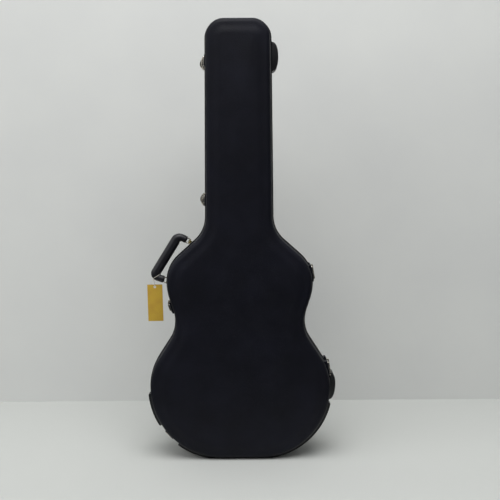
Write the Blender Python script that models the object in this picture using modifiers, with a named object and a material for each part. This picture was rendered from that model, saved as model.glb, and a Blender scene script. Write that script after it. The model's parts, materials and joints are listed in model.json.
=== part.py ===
"""Hard case for a dreadnought acoustic guitar, standing on its flat end.

Seen from the front the lid faces -Y, the hinges are on +X and the latches and handle on -X.
Every piece is placed in the case frame, whose Y is 0 at the parting line and whose X is 0 on the
centre line. The last step moves that frame so that the origin is under the middle of the case.
"""

import math

import bmesh
import bpy
import numpy as np
from mathutils import Matrix, Vector

# Outline, as half widths, heights and arc radii
CASE_HEIGHT = 1.105
HEAD_HALF = 0.0824
HEAD_CORNER_R = 0.048
NECK_FOOT_HALF = 0.0862
FLARE_R = 0.079
FLARE_Z = 0.621
UPPER_HALF = 0.1857
UPPER_Z = 0.456
UPPER_HIGH_R = 0.091
UPPER_LOW_R = 0.150
WAIST_HALF = 0.1652
WAIST_Z = 0.356
WAIST_R = 0.086
LOWER_HALF = 0.2315
LOWER_LOW_R = 0.184
LOWER_HIGH_R = 0.150
OUTLINE_STEP = math.radians(10.5)

# Shells
LID_DEPTH = 0.050
BASE_DEPTH = 0.105
WALL = 0.003
SHELL_SET_IN = 0.0015
LID_DRAFT = 0.003
BASE_DRAFT = 0.004
EDGE_R = 0.013
CROWN = 0.004
CROWN_BAND = 0.042
FIT = 0.0003

# Edge sections
RIM_PLATE = 0.0012
RIM_DEPTH = 0.006
RIM_SKIRT = 0.014
GROOVE_DEPTH = 0.0036
TONGUE = 0.0016
TONGUE_REACH = 0.0026
PARTING_GAP = 0.0003

# End bumper
BUMPER_PROUD = 0.003
BUMPER_START = 0.016
BUMPER_BASE_END = 0.072
BUMPER_LID_END = 0.036
BUMPER_SLOPE = 0.004
BUMPER_LEFT_Z = 0.171
BUMPER_BASE_RIGHT_Z = 0.128
BUMPER_LID_RIGHT_Z = 0.144
BUMPER_GAP = 0.0665

# Feet on the hinge side
FOOT_UPPER_Z = CASE_HEIGHT - 0.0865
FOOT_LOWER_Z = 0.1720
FOOT_LENGTH = 0.072
FOOT_PROUD = 0.0175
FOOT_START = 0.020
FOOT_WIDTH = 0.052
FOOT_EDGE = 0.003

# Hinges
HINGE_UPPER_Z = 0.478
HINGE_LOWER_Z = 0.232
HINGE_CLEARANCE = 0.0003
HINGE_PASSES = 4
HINGE_STEPS = 13
HINGE_LENGTH = 0.036
KNUCKLE_R = 0.0028
PIN_R = 0.0014
PIN_CLEARANCE = 0.0001
PIN_HEAD_R = 0.0022
PIN_HEAD = 0.0010
LEAF = 0.0014
LEAF_REACH = 0.030
TAB_SKIN = 0.0001
PAD_MARGIN = 0.003
PAD_BEVEL = 0.0015
PAD_START = 0.001
PAD_DEPTH = 0.018

# Latches
LATCH_HEIGHTS = (CASE_HEIGHT - 0.1035, 0.6620, 0.3905)
LATCH_LIFTS = (0.0, 0.0, 0.0018, 0.0)
LATCH_END_ANGLE = math.radians(-42)
LATCH_HALF = 0.0165
LATCH_MARGIN = 0.0015
LATCH_PLATE = 0.0012
LATCH_PLATE_STAND = 0.0005
LATCH_PLATE_START = 0.0030
LATCH_PLATE_END = 0.0460
LATCH_SHEET = 0.0012
LATCH_SIDE = 0.0035
LATCH_CROWN = 0.0145
LEVER_END = 0.0445
LEVER_CROWN_START = 0.0326
LEVER_PIVOT_Y = 0.0125
LEVER_PIVOT_STAND = 0.0046
LEVER_PIN_R = 0.0015
LEVER_EAR_R = 0.0026
LEVER_EAR_SPAN = (0.0136, 0.0152)
LATCH_PIN_HALF = 0.0154
EAR_R = 0.0031
EAR_SPAN = (0.0095, 0.0107)
HOOK_THROW = 0.0070
HOOK_TILT = math.radians(-4)
HOOK_HALF = 0.0085
HOOK_PIN_R = 0.0012
HOOK_KNUCKLE_R = 0.0021
HOOK_RISE = 0.0004
HOOK_REACH = 0.0122
HOOK_NOSE = 0.0011
HOOK_TANG_LOW = (0.0008, 0.0052)
HOOK_TANG_HIGH = (0.0010, 0.0040)
CATCH_END = 0.0300
CATCH_HALF = 0.0115
CATCH_LIP_Y = 0.0093
NOSE_CLEARANCE = 0.0005

# Handle
HANDLE_UPPER_Z = 0.5485
HANDLE_LOWER_Z = 0.4455
HANDLE_Y = 0.038
HANDLE_AXIS_STAND = 0.0074
HANDLE_REACH = 0.0333
HANDLE_SKEW = math.radians(1.3)
GRIP_R = 0.0106
GRIP_BEND_R = 0.0140
LEG_R = 0.0090
UPPER_LEG_REACH = 0.0080
LOWER_LEG_REACH = 0.0092
LOOP_WIRE_R = 0.0015
LOOP_HALF = 0.0062
LOOP_CORNER = 0.0022
BARREL_R = 0.0034
BARREL_LENGTH = 0.0080
BRACKET_LENGTH = 0.026
BRACKET_WIDTH = 0.020
BRACKET_PLATE = 0.0015

# Inside of the case
LINING_WALL = 0.021
LINING_FLOOR = 0.012
LINING_TOP = 0.0025
LINING_ROUND = 0.005
LID_LINING_WALL = 0.007
LID_LINING_FLOOR = 0.007
NECK_REST_Z = 0.618
NECK_REST_LENGTH = 0.045
NECK_REST_TOP = 0.020
NECK_NOTCH_HALF = 0.031
NECK_NOTCH_BOTTOM = 0.050
BOX_LENGTH = 0.084
BOX_WALL = 0.005
BOX_TOP = 0.044
FLAP_THICK = 0.004
FLAP_PIN_R = 0.0012
FLAP_GAP = 0.0006
TAB_WIDTH = 0.016
TAB_LENGTH = 0.022
TAB_THICK = 0.0012

# Paper tag
TAG_WIDTH = 0.0395
TAG_LENGTH = 0.0965
TAG_THICK = 0.0008
TAG_HOLE_R = 0.0020
TAG_HOLE_DOWN = 0.0060
TAG_DROP = 0.0288
TAG_LEAN = math.radians(-0.8)
STRING_R = 0.0006


def clear_scene():
    for obj in list(bpy.data.objects):
        bpy.data.objects.remove(obj, do_unlink=True)


def new_collection(name):
    collection = bpy.data.collections.new(name)
    bpy.context.scene.collection.children.link(collection)
    return collection


clear_scene()
PARTS = new_collection("acoustic_guitar_case")
CUTTERS = new_collection("cutters")
FRAME = bpy.data.objects.new("case_frame", None)
PARTS.objects.link(FRAME)


def material(name, colour, roughness, metallic=0.0):
    made = bpy.data.materials.new(name)
    made.use_nodes = True
    shader = made.node_tree.nodes["Principled BSDF"]
    shader.inputs["Base Color"].default_value = (*colour, 1.0)
    shader.inputs["Roughness"].default_value = roughness
    shader.inputs["Metallic"].default_value = metallic
    made.diffuse_color = (*colour, 1.0)
    return made


SHELL_PLASTIC = material("moulded_black_plastic", (0.012, 0.013, 0.016), 0.42)
RIM_METAL = material("black_anodised_aluminium", (0.030, 0.031, 0.034), 0.35, 0.8)
BUMPER_PLASTIC = material("black_bumper_plastic", (0.010, 0.010, 0.012), 0.55)
NICKEL = material("nickel_plated_steel", (0.62, 0.60, 0.56), 0.22, 1.0)
HANDLE_PLASTIC = material("handle_plastic", (0.015, 0.014, 0.017), 0.38)
BRASS = material("brassed_steel", (0.55, 0.46, 0.26), 0.30, 1.0)
PLUSH = material("black_plush", (0.020, 0.019, 0.024), 0.95)
RIBBON = material("black_ribbon", (0.025, 0.025, 0.028), 0.80)
TAG_PAPER = material("ochre_paper", (0.52, 0.37, 0.05), 0.85)
STRING_COTTON = material("white_cotton", (0.75, 0.74, 0.70), 0.90)


# Objects and modifiers


def place(mesh, name, stuff, matrix=None, parent=None):
    """Links a mesh as one piece, shaded smooth, in the case frame or under another empty."""
    obj = bpy.data.objects.new(name, mesh)
    PARTS.objects.link(obj)
    obj.data.materials.clear()
    obj.data.materials.append(stuff)
    obj.data.shade_smooth()
    obj.data.set_sharp_from_angle(angle=math.radians(32))
    obj.parent = parent or FRAME
    if matrix is not None:
        obj.matrix_local = matrix
    return obj


def place_cutter(mesh, name, matrix=None, parent=None):
    obj = bpy.data.objects.new(name, mesh)
    CUTTERS.objects.link(obj)
    obj.parent = parent or FRAME
    if matrix is not None:
        obj.matrix_local = matrix
    obj.hide_render = True
    obj.display_type = "WIRE"
    return obj


def boolean(obj, other, operation):
    step = obj.modifiers.new(operation.lower(), "BOOLEAN")
    step.operation = operation
    step.object = other
    step.solver = "EXACT"


def cut(obj, other):
    boolean(obj, other, "DIFFERENCE")


def join(obj, other):
    boolean(obj, other, "UNION")


def bevel(obj, width, segments=2, angle=math.radians(40)):
    step = obj.modifiers.new("bevel", "BEVEL")
    step.width = width
    step.segments = segments
    step.limit_method = "ANGLE"
    step.angle_limit = angle
    return step


def mesh_from(bm, name):
    bmesh.ops.recalc_face_normals(bm, faces=bm.faces)
    mesh = bpy.data.meshes.new(name)
    bm.to_mesh(mesh)
    bm.free()
    return mesh


def band_mesh(name, points, low, high):
    """A flat outline in X and Y, given its width along Z."""
    bm = bmesh.new()
    face = bm.faces.new([bm.verts.new((x, y, low)) for x, y in points])
    made = bmesh.ops.extrude_face_region(bm, geom=[face])
    moved = [item for item in made["geom"] if isinstance(item, bmesh.types.BMVert)]
    bmesh.ops.translate(bm, vec=(0, 0, high - low), verts=moved)
    return mesh_from(bm, name)


def box_mesh(name, low, high):
    """A box from its low corner to its high corner."""
    bm = bmesh.new()
    bmesh.ops.create_cube(bm, size=1.0)
    size = Vector(high) - Vector(low)
    middle = (Vector(high) + Vector(low)) / 2
    bmesh.ops.scale(bm, vec=size, verts=bm.verts)
    bmesh.ops.translate(bm, vec=middle, verts=bm.verts)
    return mesh_from(bm, name)


def rod_mesh(name, radius, start, end, sides=16):
    """A cylinder between two points."""
    start, end = Vector(start), Vector(end)
    along = end - start
    bm = bmesh.new()
    bmesh.ops.create_cone(
        bm,
        cap_ends=True,
        segments=sides,
        radius1=radius,
        radius2=radius,
        depth=along.length,
        matrix=Matrix.Translation((start + end) / 2) @ along.to_track_quat("Z", "X").to_matrix().to_4x4(),
    )
    return mesh_from(bm, name)


def plate_mesh(name, points, low, high):
    """A flat outline in X and Z, given its thickness along Y."""
    bm = bmesh.new()
    face = bm.faces.new([bm.verts.new((x, low, z)) for x, z in points])
    made = bmesh.ops.extrude_face_region(bm, geom=[face])
    moved = [item for item in made["geom"] if isinstance(item, bmesh.types.BMVert)]
    bmesh.ops.translate(bm, vec=(0, high - low, 0), verts=moved)
    return mesh_from(bm, name)


# The outline, as circles joined by their common tangents


def half_circles():
    """Centre x, centre z and signed radius, from the lower bout to the head. Minus bends inwards."""
    return [
        (LOWER_HALF - LOWER_LOW_R, LOWER_LOW_R, LOWER_LOW_R),
        (LOWER_HALF - LOWER_HIGH_R, LOWER_LOW_R, LOWER_HIGH_R),
        (WAIST_HALF + WAIST_R, WAIST_Z, -WAIST_R),
        (UPPER_HALF - UPPER_LOW_R, UPPER_Z, UPPER_LOW_R),
        (UPPER_HALF - UPPER_HIGH_R, UPPER_Z, UPPER_HIGH_R),
        (NECK_FOOT_HALF + FLARE_R, FLARE_Z, -FLARE_R),
        (HEAD_HALF - HEAD_CORNER_R, CASE_HEIGHT - HEAD_CORNER_R, HEAD_CORNER_R),
    ]


def heading(first, second):
    """The direction of the line that leaves one circle and meets the next, as an angle from +X."""
    dx, dz = second[0] - first[0], second[1] - first[1]
    span = dx * dx + dz * dz
    across = second[2] - first[2]
    ahead = math.sqrt(max(span - across * across, 0.0))
    return math.atan2(ahead * dz - across * dx, ahead * dx + across * dz)


def outline_marks():
    """Every point of the right half: its circle and the direction in which the outline runs there."""
    circles = half_circles()
    headings = [heading(a, b) for a, b in zip(circles, circles[1:])]
    headings = [0.0] + headings + [math.pi]
    marks = []
    for circle, start, end in zip(circles, headings, headings[1:]):
        count = max(2, math.ceil(abs(end - start) / OUTLINE_STEP) + 1)
        for angle in np.linspace(start, end, count):
            marks.append((circle, float(angle)))
    kept = [marks[0]]
    for mark in marks[1:]:
        if (Vector(mark_point(mark, 0.0)) - Vector(mark_point(kept[-1], 0.0))).length > 1e-4:
            kept.append(mark)
    return kept


def mark_point(mark, inset):
    (cx, cz, radius), angle = mark
    reach = radius - inset
    return cx + reach * math.sin(angle), cz - reach * math.cos(angle)


MARKS = outline_marks()


def outline(inset):
    """The closed outline, drawn in by the inset, as X and Z points."""
    right = [mark_point(mark, inset) for mark in MARKS]
    left = [(-x, z) for x, z in reversed(right)]
    return right + left


def edge_frame(z, side, inset=0.0):
    """The point of the outline at a height, and the outward direction there. Side is 1 or -1."""
    for first, second in zip(MARKS, MARKS[1:]):
        start, end = mark_point(first, inset), mark_point(second, inset)
        if start[1] <= z <= end[1] and end[1] > start[1]:
            share = (z - start[1]) / (end[1] - start[1])
            angle = first[1] + share * (second[1] - first[1])
            point = Vector((side * (start[0] + share * (end[0] - start[0])), 0, z))
            return point, Vector((side * math.sin(angle), 0, -math.cos(angle)))
    raise ValueError("no edge at this height")


def half_width(z, inset):
    return edge_frame(z, 1, inset)[0].x


# Lofts on the outline


def ring(bm, inset, y, floor=False):
    """One loop of points on the outline. With floor, nothing reaches below the standing flat."""
    return [bm.verts.new((x, y, max(z, 0.0) if floor else z)) for x, z in outline(inset)]


def skin(bm, first, second):
    count = len(first)
    for i in range(count):
        j = (i + 1) % count
        bm.faces.new((first[i], first[j], second[j], second[i]))


def loft_mesh(name, stations, closed=False):
    """Joins loops of the outline, given as inset and Y. Open ends are closed with a flat face."""
    bm = bmesh.new()
    loops = [ring(bm, inset, y) for inset, y in stations]
    for first, second in zip(loops, loops[1:]):
        skin(bm, first, second)
    if closed:
        skin(bm, loops[-1], loops[0])
    else:
        bm.faces.new(loops[0])
        bm.faces.new(loops[-1])
    return mesh_from(bm, name)


def wall_inset(y):
    """How far the outside of a shell lies inside the outline, at a depth from the parting line."""
    if y < 0:
        return SHELL_SET_IN + LID_DRAFT * -y / LID_DEPTH
    return SHELL_SET_IN + BASE_DRAFT * y / BASE_DEPTH


def shell_stations(start, depth, sign, offset, segments):
    """Loops of one side of a shell's wall, from its rim to the middle of its face."""
    radius = EDGE_R - offset
    wall_end = depth - EDGE_R
    foot = wall_inset(sign * wall_end) + offset
    stations = [(wall_inset(sign * start) + offset, sign * start)]
    for i in range(segments + 1):
        turn = math.pi / 2 * i / segments
        inset = foot + radius * (1 - math.cos(turn))
        stations.append((inset, sign * (wall_end + radius * math.sin(turn))))
    stations.append((CROWN_BAND, sign * (depth - offset + CROWN)))
    return stations


def shell(name, start, depth, sign):
    outside = shell_stations(start, depth, sign, 0.0, 3)
    inside = shell_stations(start, depth, sign, WALL, 2)
    return place(loft_mesh(name, outside[::-1] + inside), name, SHELL_PLASTIC)


def seat_cutter(name, start, depth, sign):
    """The space that the shell and its rim take up, with the fitting gap round it."""
    skirt = RIM_SKIRT + FIT
    stations = [(-FIT, sign * start), (-FIT, sign * skirt)]
    stations.append((wall_inset(sign * skirt) - FIT, sign * skirt))
    stations.append((wall_inset(sign * (depth - EDGE_R)) - FIT, sign * (depth - EDGE_R)))
    stations.append((EDGE_R, sign * depth))
    return place_cutter(loft_mesh(name, stations), name)


def core_cutter(name, depth, sign):
    """The inside of a shell up to the middle of its wall, which trims the back of a moulded pad."""
    middle = WALL / 2
    stations = [(wall_inset(0.0) + middle, -sign * FIT)]
    stations.append((wall_inset(sign * (depth - EDGE_R)) + middle, sign * (depth - EDGE_R)))
    return place_cutter(loft_mesh(name, stations), name)


def local_frame(point, outward, y=0.0):
    """A frame on the edge: X points outwards, Y into the case's depth, Z along the edge."""
    out = Vector(outward).normalized()
    deep = Vector((0, 1, 0))
    along = out.cross(deep)
    turn = Matrix((out, deep, along)).transposed().to_4x4()
    return Matrix.Translation(Vector(point) + Vector((0, y, 0))) @ turn


# Shells, rims and bumper


def make_shells():
    base = shell("base_shell", GROOVE_DEPTH + RIM_PLATE + FIT, BASE_DEPTH, 1)
    lid = shell("lid_shell", RIM_PLATE + 2 * FIT, LID_DEPTH, -1)
    return base, lid


def make_rims():
    top = PARTING_GAP / 2
    inner = RIM_DEPTH
    web = GROOVE_DEPTH + RIM_PLATE
    base_section = [
        (0, top),
        (RIM_PLATE, top),
        (RIM_PLATE, GROOVE_DEPTH),
        (inner - RIM_PLATE, GROOVE_DEPTH),
        (inner - RIM_PLATE, top),
        (inner, top),
        (inner, web),
        (RIM_PLATE, web),
        (RIM_PLATE, RIM_SKIRT),
        (0, RIM_SKIRT),
    ]
    middle = inner / 2
    lid_section = [
        (0, -top),
        (0, -RIM_SKIRT),
        (RIM_PLATE, -RIM_SKIRT),
        (RIM_PLATE, -top - RIM_PLATE),
        (inner, -top - RIM_PLATE),
        (inner, -top),
        (middle + TONGUE / 2, -top),
        (middle + TONGUE / 2, TONGUE_REACH),
        (middle - TONGUE / 2, TONGUE_REACH),
        (middle - TONGUE / 2, -top),
    ]
    place(loft_mesh("base_rim", base_section, closed=True), "base_rim", RIM_METAL)
    place(loft_mesh("lid_rim", lid_section, closed=True), "lid_rim", RIM_METAL)


def bumper_section(sign, end):
    """Corners of the bumper as inset and Y: sunk in the shell's wall, proud of the rim outside."""
    y0, y1 = sign * BUMPER_START, sign * end
    sunk = WALL / 2
    return [
        (wall_inset(y0) + sunk, y0),
        (-BUMPER_PROUD, y0 + sign * BUMPER_SLOPE / 2),
        (-BUMPER_PROUD, y1 - sign * BUMPER_SLOPE),
        (wall_inset(y1) + sunk, y1),
    ]


def bumper_path(start, end):
    """Stretch of the lower bout between two angles, 0 at the middle of the flat, plus to the right."""
    radius = LOWER_LOW_R
    middle = LOWER_HALF - radius
    path = []
    count = max(2, math.ceil(abs(end - start) / OUTLINE_STEP) + 1)
    for angle in np.linspace(start, end, count):
        side = math.copysign(1.0, angle)
        path.append((side * middle, radius, side, abs(float(angle))))
    if start < 0 < end:
        path = [item for item in path if item[3] > 0.02]
        left = [item for item in path if item[2] < 0]
        right = [item for item in path if item[2] > 0]
        path = left + [(-middle, radius, -1.0, 0.0), (middle, radius, 1.0, 0.0)] + right
    return path


def bumper(name, section, seat, start, end):
    bm = bmesh.new()
    loops = []
    for cx, cz, side, angle in bumper_path(start, end):
        loop = []
        for inset, y in section:
            reach = LOWER_LOW_R - inset
            x = cx + side * reach * math.sin(angle)
            z = max(cz - reach * math.cos(angle), 0.0)
            loop.append(bm.verts.new((x, y, z)))
        loops.append(loop)
    for first, second in zip(loops, loops[1:]):
        skin(bm, first, second)
    bm.faces.new(loops[0])
    bm.faces.new(loops[-1])
    made = place(mesh_from(bm, name), name, BUMPER_PLASTIC)
    cut(made, seat)


def angle_at(z):
    return math.acos((LOWER_LOW_R - z) / LOWER_LOW_R)


def make_bumpers(base_seat, lid_seat):
    """The 4th latch interrupts the bumper, so each half has a long and a short length."""
    gap = BUMPER_GAP / 2 / LOWER_LOW_R
    latch = -math.pi / 2 - LATCH_END_ANGLE
    halves = (
        ("base", 1, BUMPER_BASE_END, BUMPER_BASE_RIGHT_Z, base_seat),
        ("lid", -1, BUMPER_LID_END, BUMPER_LID_RIGHT_Z, lid_seat),
    )
    for half, sign, end, right_z, seat in halves:
        section = bumper_section(sign, end)
        bumper(f"end_bumper_{half}", section, seat, latch + gap, angle_at(right_z))
        bumper(f"side_bumper_{half}", section, seat, -angle_at(BUMPER_LEFT_Z), latch - gap)


# Feet


def foot_points():
    """A half moon: a blunt ellipse that starts inside the wall."""
    points = [(-0.008, -FOOT_LENGTH / 2), (0, -FOOT_LENGTH / 2)]
    for angle in np.linspace(math.radians(-80), math.radians(80), 11):
        x = FOOT_PROUD * math.cos(angle) ** 0.75
        z = FOOT_LENGTH / 2 * math.copysign(abs(math.sin(angle)) ** 0.9, angle)
        points.append((x, z))
    points += [(0, FOOT_LENGTH / 2), (-0.008, FOOT_LENGTH / 2)]
    return points


def make_feet(base_seat):
    for name, z in (("upper_foot", FOOT_UPPER_Z), ("lower_foot", FOOT_LOWER_Z)):
        point, outward = edge_frame(z, 1)
        mesh = plate_mesh(name, foot_points(), FOOT_START, FOOT_START + FOOT_WIDTH)
        foot = place(mesh, name, BUMPER_PLASTIC, local_frame(point, outward))
        bevel(foot, FOOT_EDGE, 2, math.radians(60))
        cut(foot, base_seat)


# Hinges


def hinge_axis():
    """The two pin centres, which set the line that the lid turns about. The leaves clear the rims."""
    steps = np.linspace(-HINGE_LENGTH / 2, HINGE_LENGTH / 2, HINGE_STEPS)
    start = Vector((KNUCKLE_R, 0, 0))
    centres = [edge_frame(z, 1)[0] + start for z in (HINGE_UPPER_Z, HINGE_LOWER_Z)]
    for _ in range(HINGE_PASSES):
        along = (centres[0] - centres[1]).normalized()
        need = (KNUCKLE_R + HINGE_CLEARANCE) / along.z
        for centre in centres:
            edges = [edge_frame(centre.z + step, 1)[0].x - step * along.x / along.z for step in steps]
            centre.x += max(max(edges) + need - centre.x, 0.0)
    return centres


def hinge_leaf(name, sign, frame, knuckles, parent):
    """A flat leaf with its knuckles. In the hinge frame X is outwards and Z is the pin."""
    start = KNUCKLE_R + 0.0005
    ys = sorted((sign * start, sign * LEAF_REACH))
    half = HINGE_LENGTH / 2
    low = (-KNUCKLE_R, ys[0], -half)
    high = (-KNUCKLE_R + LEAF, ys[1], half)
    leaf = place(box_mesh(name, low, high), name, NICKEL, frame, parent)
    tab_low, tab_high = -KNUCKLE_R + TAB_SKIN, -KNUCKLE_R + LEAF - TAB_SKIN
    for i, (z0, z1) in enumerate(knuckles):
        tab_y = sorted((0.0, sign * (start + 0.002)))
        ends = (z0 + TAB_SKIN, z1 - TAB_SKIN)
        tab = box_mesh(f"{name}_tab_{i}", (tab_low, tab_y[0], ends[0]), (tab_high, tab_y[1], ends[1]))
        join(leaf, place_cutter(tab, f"{name}_tab_{i}", frame, parent))
        roll = rod_mesh(f"{name}_knuckle_{i}", KNUCKLE_R, (0, 0, z0), (0, 0, z1), 20)
        join(leaf, place_cutter(roll, f"{name}_knuckle_{i}", frame, parent))
    bore = rod_mesh(f"{name}_bore", PIN_R + PIN_CLEARANCE, (0, 0, -half - 0.002), (0, 0, half + 0.002))
    cut(leaf, place_cutter(bore, f"{name}_bore", frame, parent))
    return leaf


def moulded_pad(name, shell, frame, top, end, half):
    """A flat moulded on a shell, for a fitting to lie on. Top is its height in the given frame."""
    shell_obj, core, sign = shell
    ys = sorted((sign * (RIM_SKIRT + PAD_START), sign * (end + PAD_MARGIN)))
    mesh = box_mesh(name, (top - PAD_DEPTH, ys[0], -half), (top, ys[1], half))
    pad = place_cutter(mesh, name, frame)
    bevel(pad, PAD_BEVEL, 1)
    cut(pad, core)
    join(shell_obj, pad)


def make_hinges(base, lid):
    upper, lower = hinge_axis()
    along = (upper - lower).normalized()
    outward = Vector((along.z, 0, -along.x))
    third = HINGE_LENGTH / 3
    half = HINGE_LENGTH / 2
    side_gap = FIT / 2
    for name, centre in (("upper_hinge", upper), ("lower_hinge", lower)):
        frame = local_frame(centre, outward)
        outer = [(-half, -third / 2 - side_gap), (third / 2 + side_gap, half)]
        hinge_leaf(f"{name}_base_leaf", 1, frame, outer, FRAME)
        hinge_leaf(f"{name}_lid_leaf", -1, frame, [(-third / 2 + side_gap, third / 2 - side_gap)], FRAME)
        pin = rod_mesh(f"{name}_pin", PIN_R, (0, 0, -half - PIN_HEAD), (0, 0, half + PIN_HEAD))
        pin = place(pin, f"{name}_pin", NICKEL, frame)
        head = rod_mesh(f"{name}_pin_head", PIN_HEAD_R, (0, 0, half + FIT), (0, 0, half + FIT + PIN_HEAD))
        join(pin, place_cutter(head, f"{name}_pin_head", frame))
        pad = (frame, -KNUCKLE_R - FIT, LEAF_REACH, HINGE_LENGTH / 2 + PAD_MARGIN)
        moulded_pad(f"{name}_base_pad", base, *pad)
        moulded_pad(f"{name}_lid_pad", lid, *pad)


# Latches


def dome(width, side, crown, low, count=7):
    """Section of a pressed cover: straight sides and an arched top, as X out and Z along the edge."""
    rise = crown - side
    radius = (width * width + rise * rise) / (2 * rise)
    spread = math.asin(width / radius)
    points = [(low, -width)]
    for angle in np.linspace(-spread, spread, count):
        points.append((crown - radius + radius * math.cos(angle), radius * math.sin(angle)))
    points.append((low, width))
    return points


LEVER_LOW = LATCH_PLATE_STAND + LATCH_PLATE + FIT
HOOK_UNDER = LEVER_PIVOT_STAND + LEVER_PIN_R + HOOK_RISE


def latch_places():
    """Edge frames of the four latches, on the side away from the hinges."""
    places = [edge_frame(z, -1) for z in LATCH_HEIGHTS]
    outward = Vector((-math.cos(LATCH_END_ANGLE), 0, math.sin(LATCH_END_ANGLE)))
    middle = Vector((-(LOWER_HALF - LOWER_LOW_R), 0, LOWER_LOW_R))
    places.append((middle + outward * LOWER_LOW_R, outward))
    return [local_frame(p + out * lift, out) for (p, out), lift in zip(places, LATCH_LIFTS)]


def hook_pivot():
    y = LEVER_PIVOT_Y + HOOK_THROW * math.cos(HOOK_TILT)
    return LEVER_PIVOT_STAND + HOOK_THROW * math.sin(HOOK_TILT), y


def pair(span):
    """The two stretches along Z that mirror each other."""
    return (-span[1], -span[0]), span


def latch_lever(name, frame):
    """A domed cover, hollow underneath, cut down towards its pivot so that the hook can swing out."""
    outer = dome(LATCH_HALF, LATCH_SIDE, LATCH_CROWN, LEVER_LOW)
    lever = place(plate_mesh(name, outer, LEVER_PIVOT_Y, LEVER_END), name, NICKEL, frame)
    sheet = LATCH_SHEET
    inner = dome(LATCH_HALF - sheet, LATCH_SIDE - sheet, LATCH_CROWN - sheet, LEVER_LOW - sheet)
    hollow = plate_mesh(f"{name}_hollow", inner, LEVER_PIVOT_Y - sheet, LEVER_END - sheet)
    cut(lever, place_cutter(hollow, f"{name}_hollow", frame))
    low = LEVER_PIVOT_STAND + LEVER_EAR_R - HOOK_RISE
    above = LATCH_CROWN + sheet
    slope = [
        (low, LEVER_PIVOT_Y - sheet),
        (above, LEVER_PIVOT_Y - sheet),
        (above, LEVER_CROWN_START),
        (LATCH_CROWN - sheet, LEVER_CROWN_START),
        (low, LEVER_PIVOT_Y + HOOK_RISE),
    ]
    opening = band_mesh(f"{name}_opening", slope, -2 * LATCH_HALF, 2 * LATCH_HALF)
    cut(lever, place_cutter(opening, f"{name}_opening", frame))
    pivot = (LEVER_PIVOT_STAND, LEVER_PIVOT_Y)
    for i, (z0, z1) in enumerate(pair(LEVER_EAR_SPAN)):
        ear = rod_mesh(f"{name}_ear_{i}", LEVER_EAR_R, (*pivot, z0), (*pivot, z1), 14)
        join(lever, place_cutter(ear, f"{name}_ear_{i}", frame))
    return lever


def latch_plate(name, frame):
    stand = LATCH_PLATE_STAND
    half = LATCH_HALF + LATCH_MARGIN
    mesh = box_mesh(name, (stand, LATCH_PLATE_START, -half), (stand + LATCH_PLATE, LATCH_PLATE_END, half))
    plate = place(mesh, name, NICKEL, frame)
    pivot = (LEVER_PIVOT_STAND, LEVER_PIVOT_Y)
    foot_half = EAR_R * 0.9
    for i, (z0, z1) in enumerate(pair(EAR_SPAN)):
        ear = rod_mesh(f"{name}_ear_{i}", EAR_R, (*pivot, z0), (*pivot, z1), 14)
        join(plate, place_cutter(ear, f"{name}_ear_{i}", frame))
        low = (stand + LATCH_PLATE / 2, pivot[1] - foot_half, z0 + TAB_SKIN)
        high = (pivot[0], pivot[1] + foot_half, z1 - TAB_SKIN)
        foot = box_mesh(f"{name}_ear_foot_{i}", low, high)
        join(plate, place_cutter(foot, f"{name}_ear_foot_{i}", frame))
    return plate


def latch_hook(name, frame):
    """A bent strip from the knuckle on the lever, over the lever pin, to the catch on the lid."""
    px, py = hook_pivot()
    under = HOOK_UNDER
    top = under + LATCH_SHEET
    profile = [
        (px - HOOK_TANG_LOW[0], py - HOOK_KNUCKLE_R * 0.4),
        (under, py - HOOK_TANG_LOW[1]),
        (under, -HOOK_REACH + LATCH_SHEET),
        (under - HOOK_NOSE, -HOOK_REACH + LATCH_SHEET),
        (under - HOOK_NOSE, -HOOK_REACH),
        (top, -HOOK_REACH),
        (top, py - HOOK_TANG_HIGH[1]),
        (px + HOOK_TANG_HIGH[0], py + HOOK_KNUCKLE_R * 0.4),
    ]
    strip = HOOK_HALF - TAB_SKIN
    hook = place(band_mesh(name, profile, -strip, strip), name, NICKEL, frame)
    roll = rod_mesh(f"{name}_knuckle", HOOK_KNUCKLE_R, (px, py, -HOOK_HALF), (px, py, HOOK_HALF), 14)
    join(hook, place_cutter(roll, f"{name}_knuckle", frame))
    half = LATCH_PIN_HALF
    ends = rod_mesh(f"{name}_ends", HOOK_PIN_R, (px, py, -half), (px, py, half), 12)
    join(hook, place_cutter(ends, f"{name}_ends", frame))
    return hook


def latch_catch(name, frame):
    """A plate on the lid with a lip just under the hook's nose."""
    stand = LATCH_PLATE_STAND
    lip_top = HOOK_UNDER - HOOK_NOSE - NOSE_CLEARANCE
    mesh = box_mesh(
        name,
        (stand, -CATCH_END, -CATCH_HALF),
        (stand + LATCH_PLATE, -CATCH_LIP_Y, CATCH_HALF),
    )
    catch = place(mesh, name, NICKEL, frame)
    lip = box_mesh(
        f"{name}_lip",
        (stand + TAB_SKIN, -CATCH_LIP_Y - LATCH_SHEET, -CATCH_HALF + TAB_SKIN),
        (lip_top, -CATCH_LIP_Y - TAB_SKIN, CATCH_HALF - TAB_SKIN),
    )
    join(catch, place_cutter(lip, f"{name}_lip", frame))
    return catch


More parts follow.
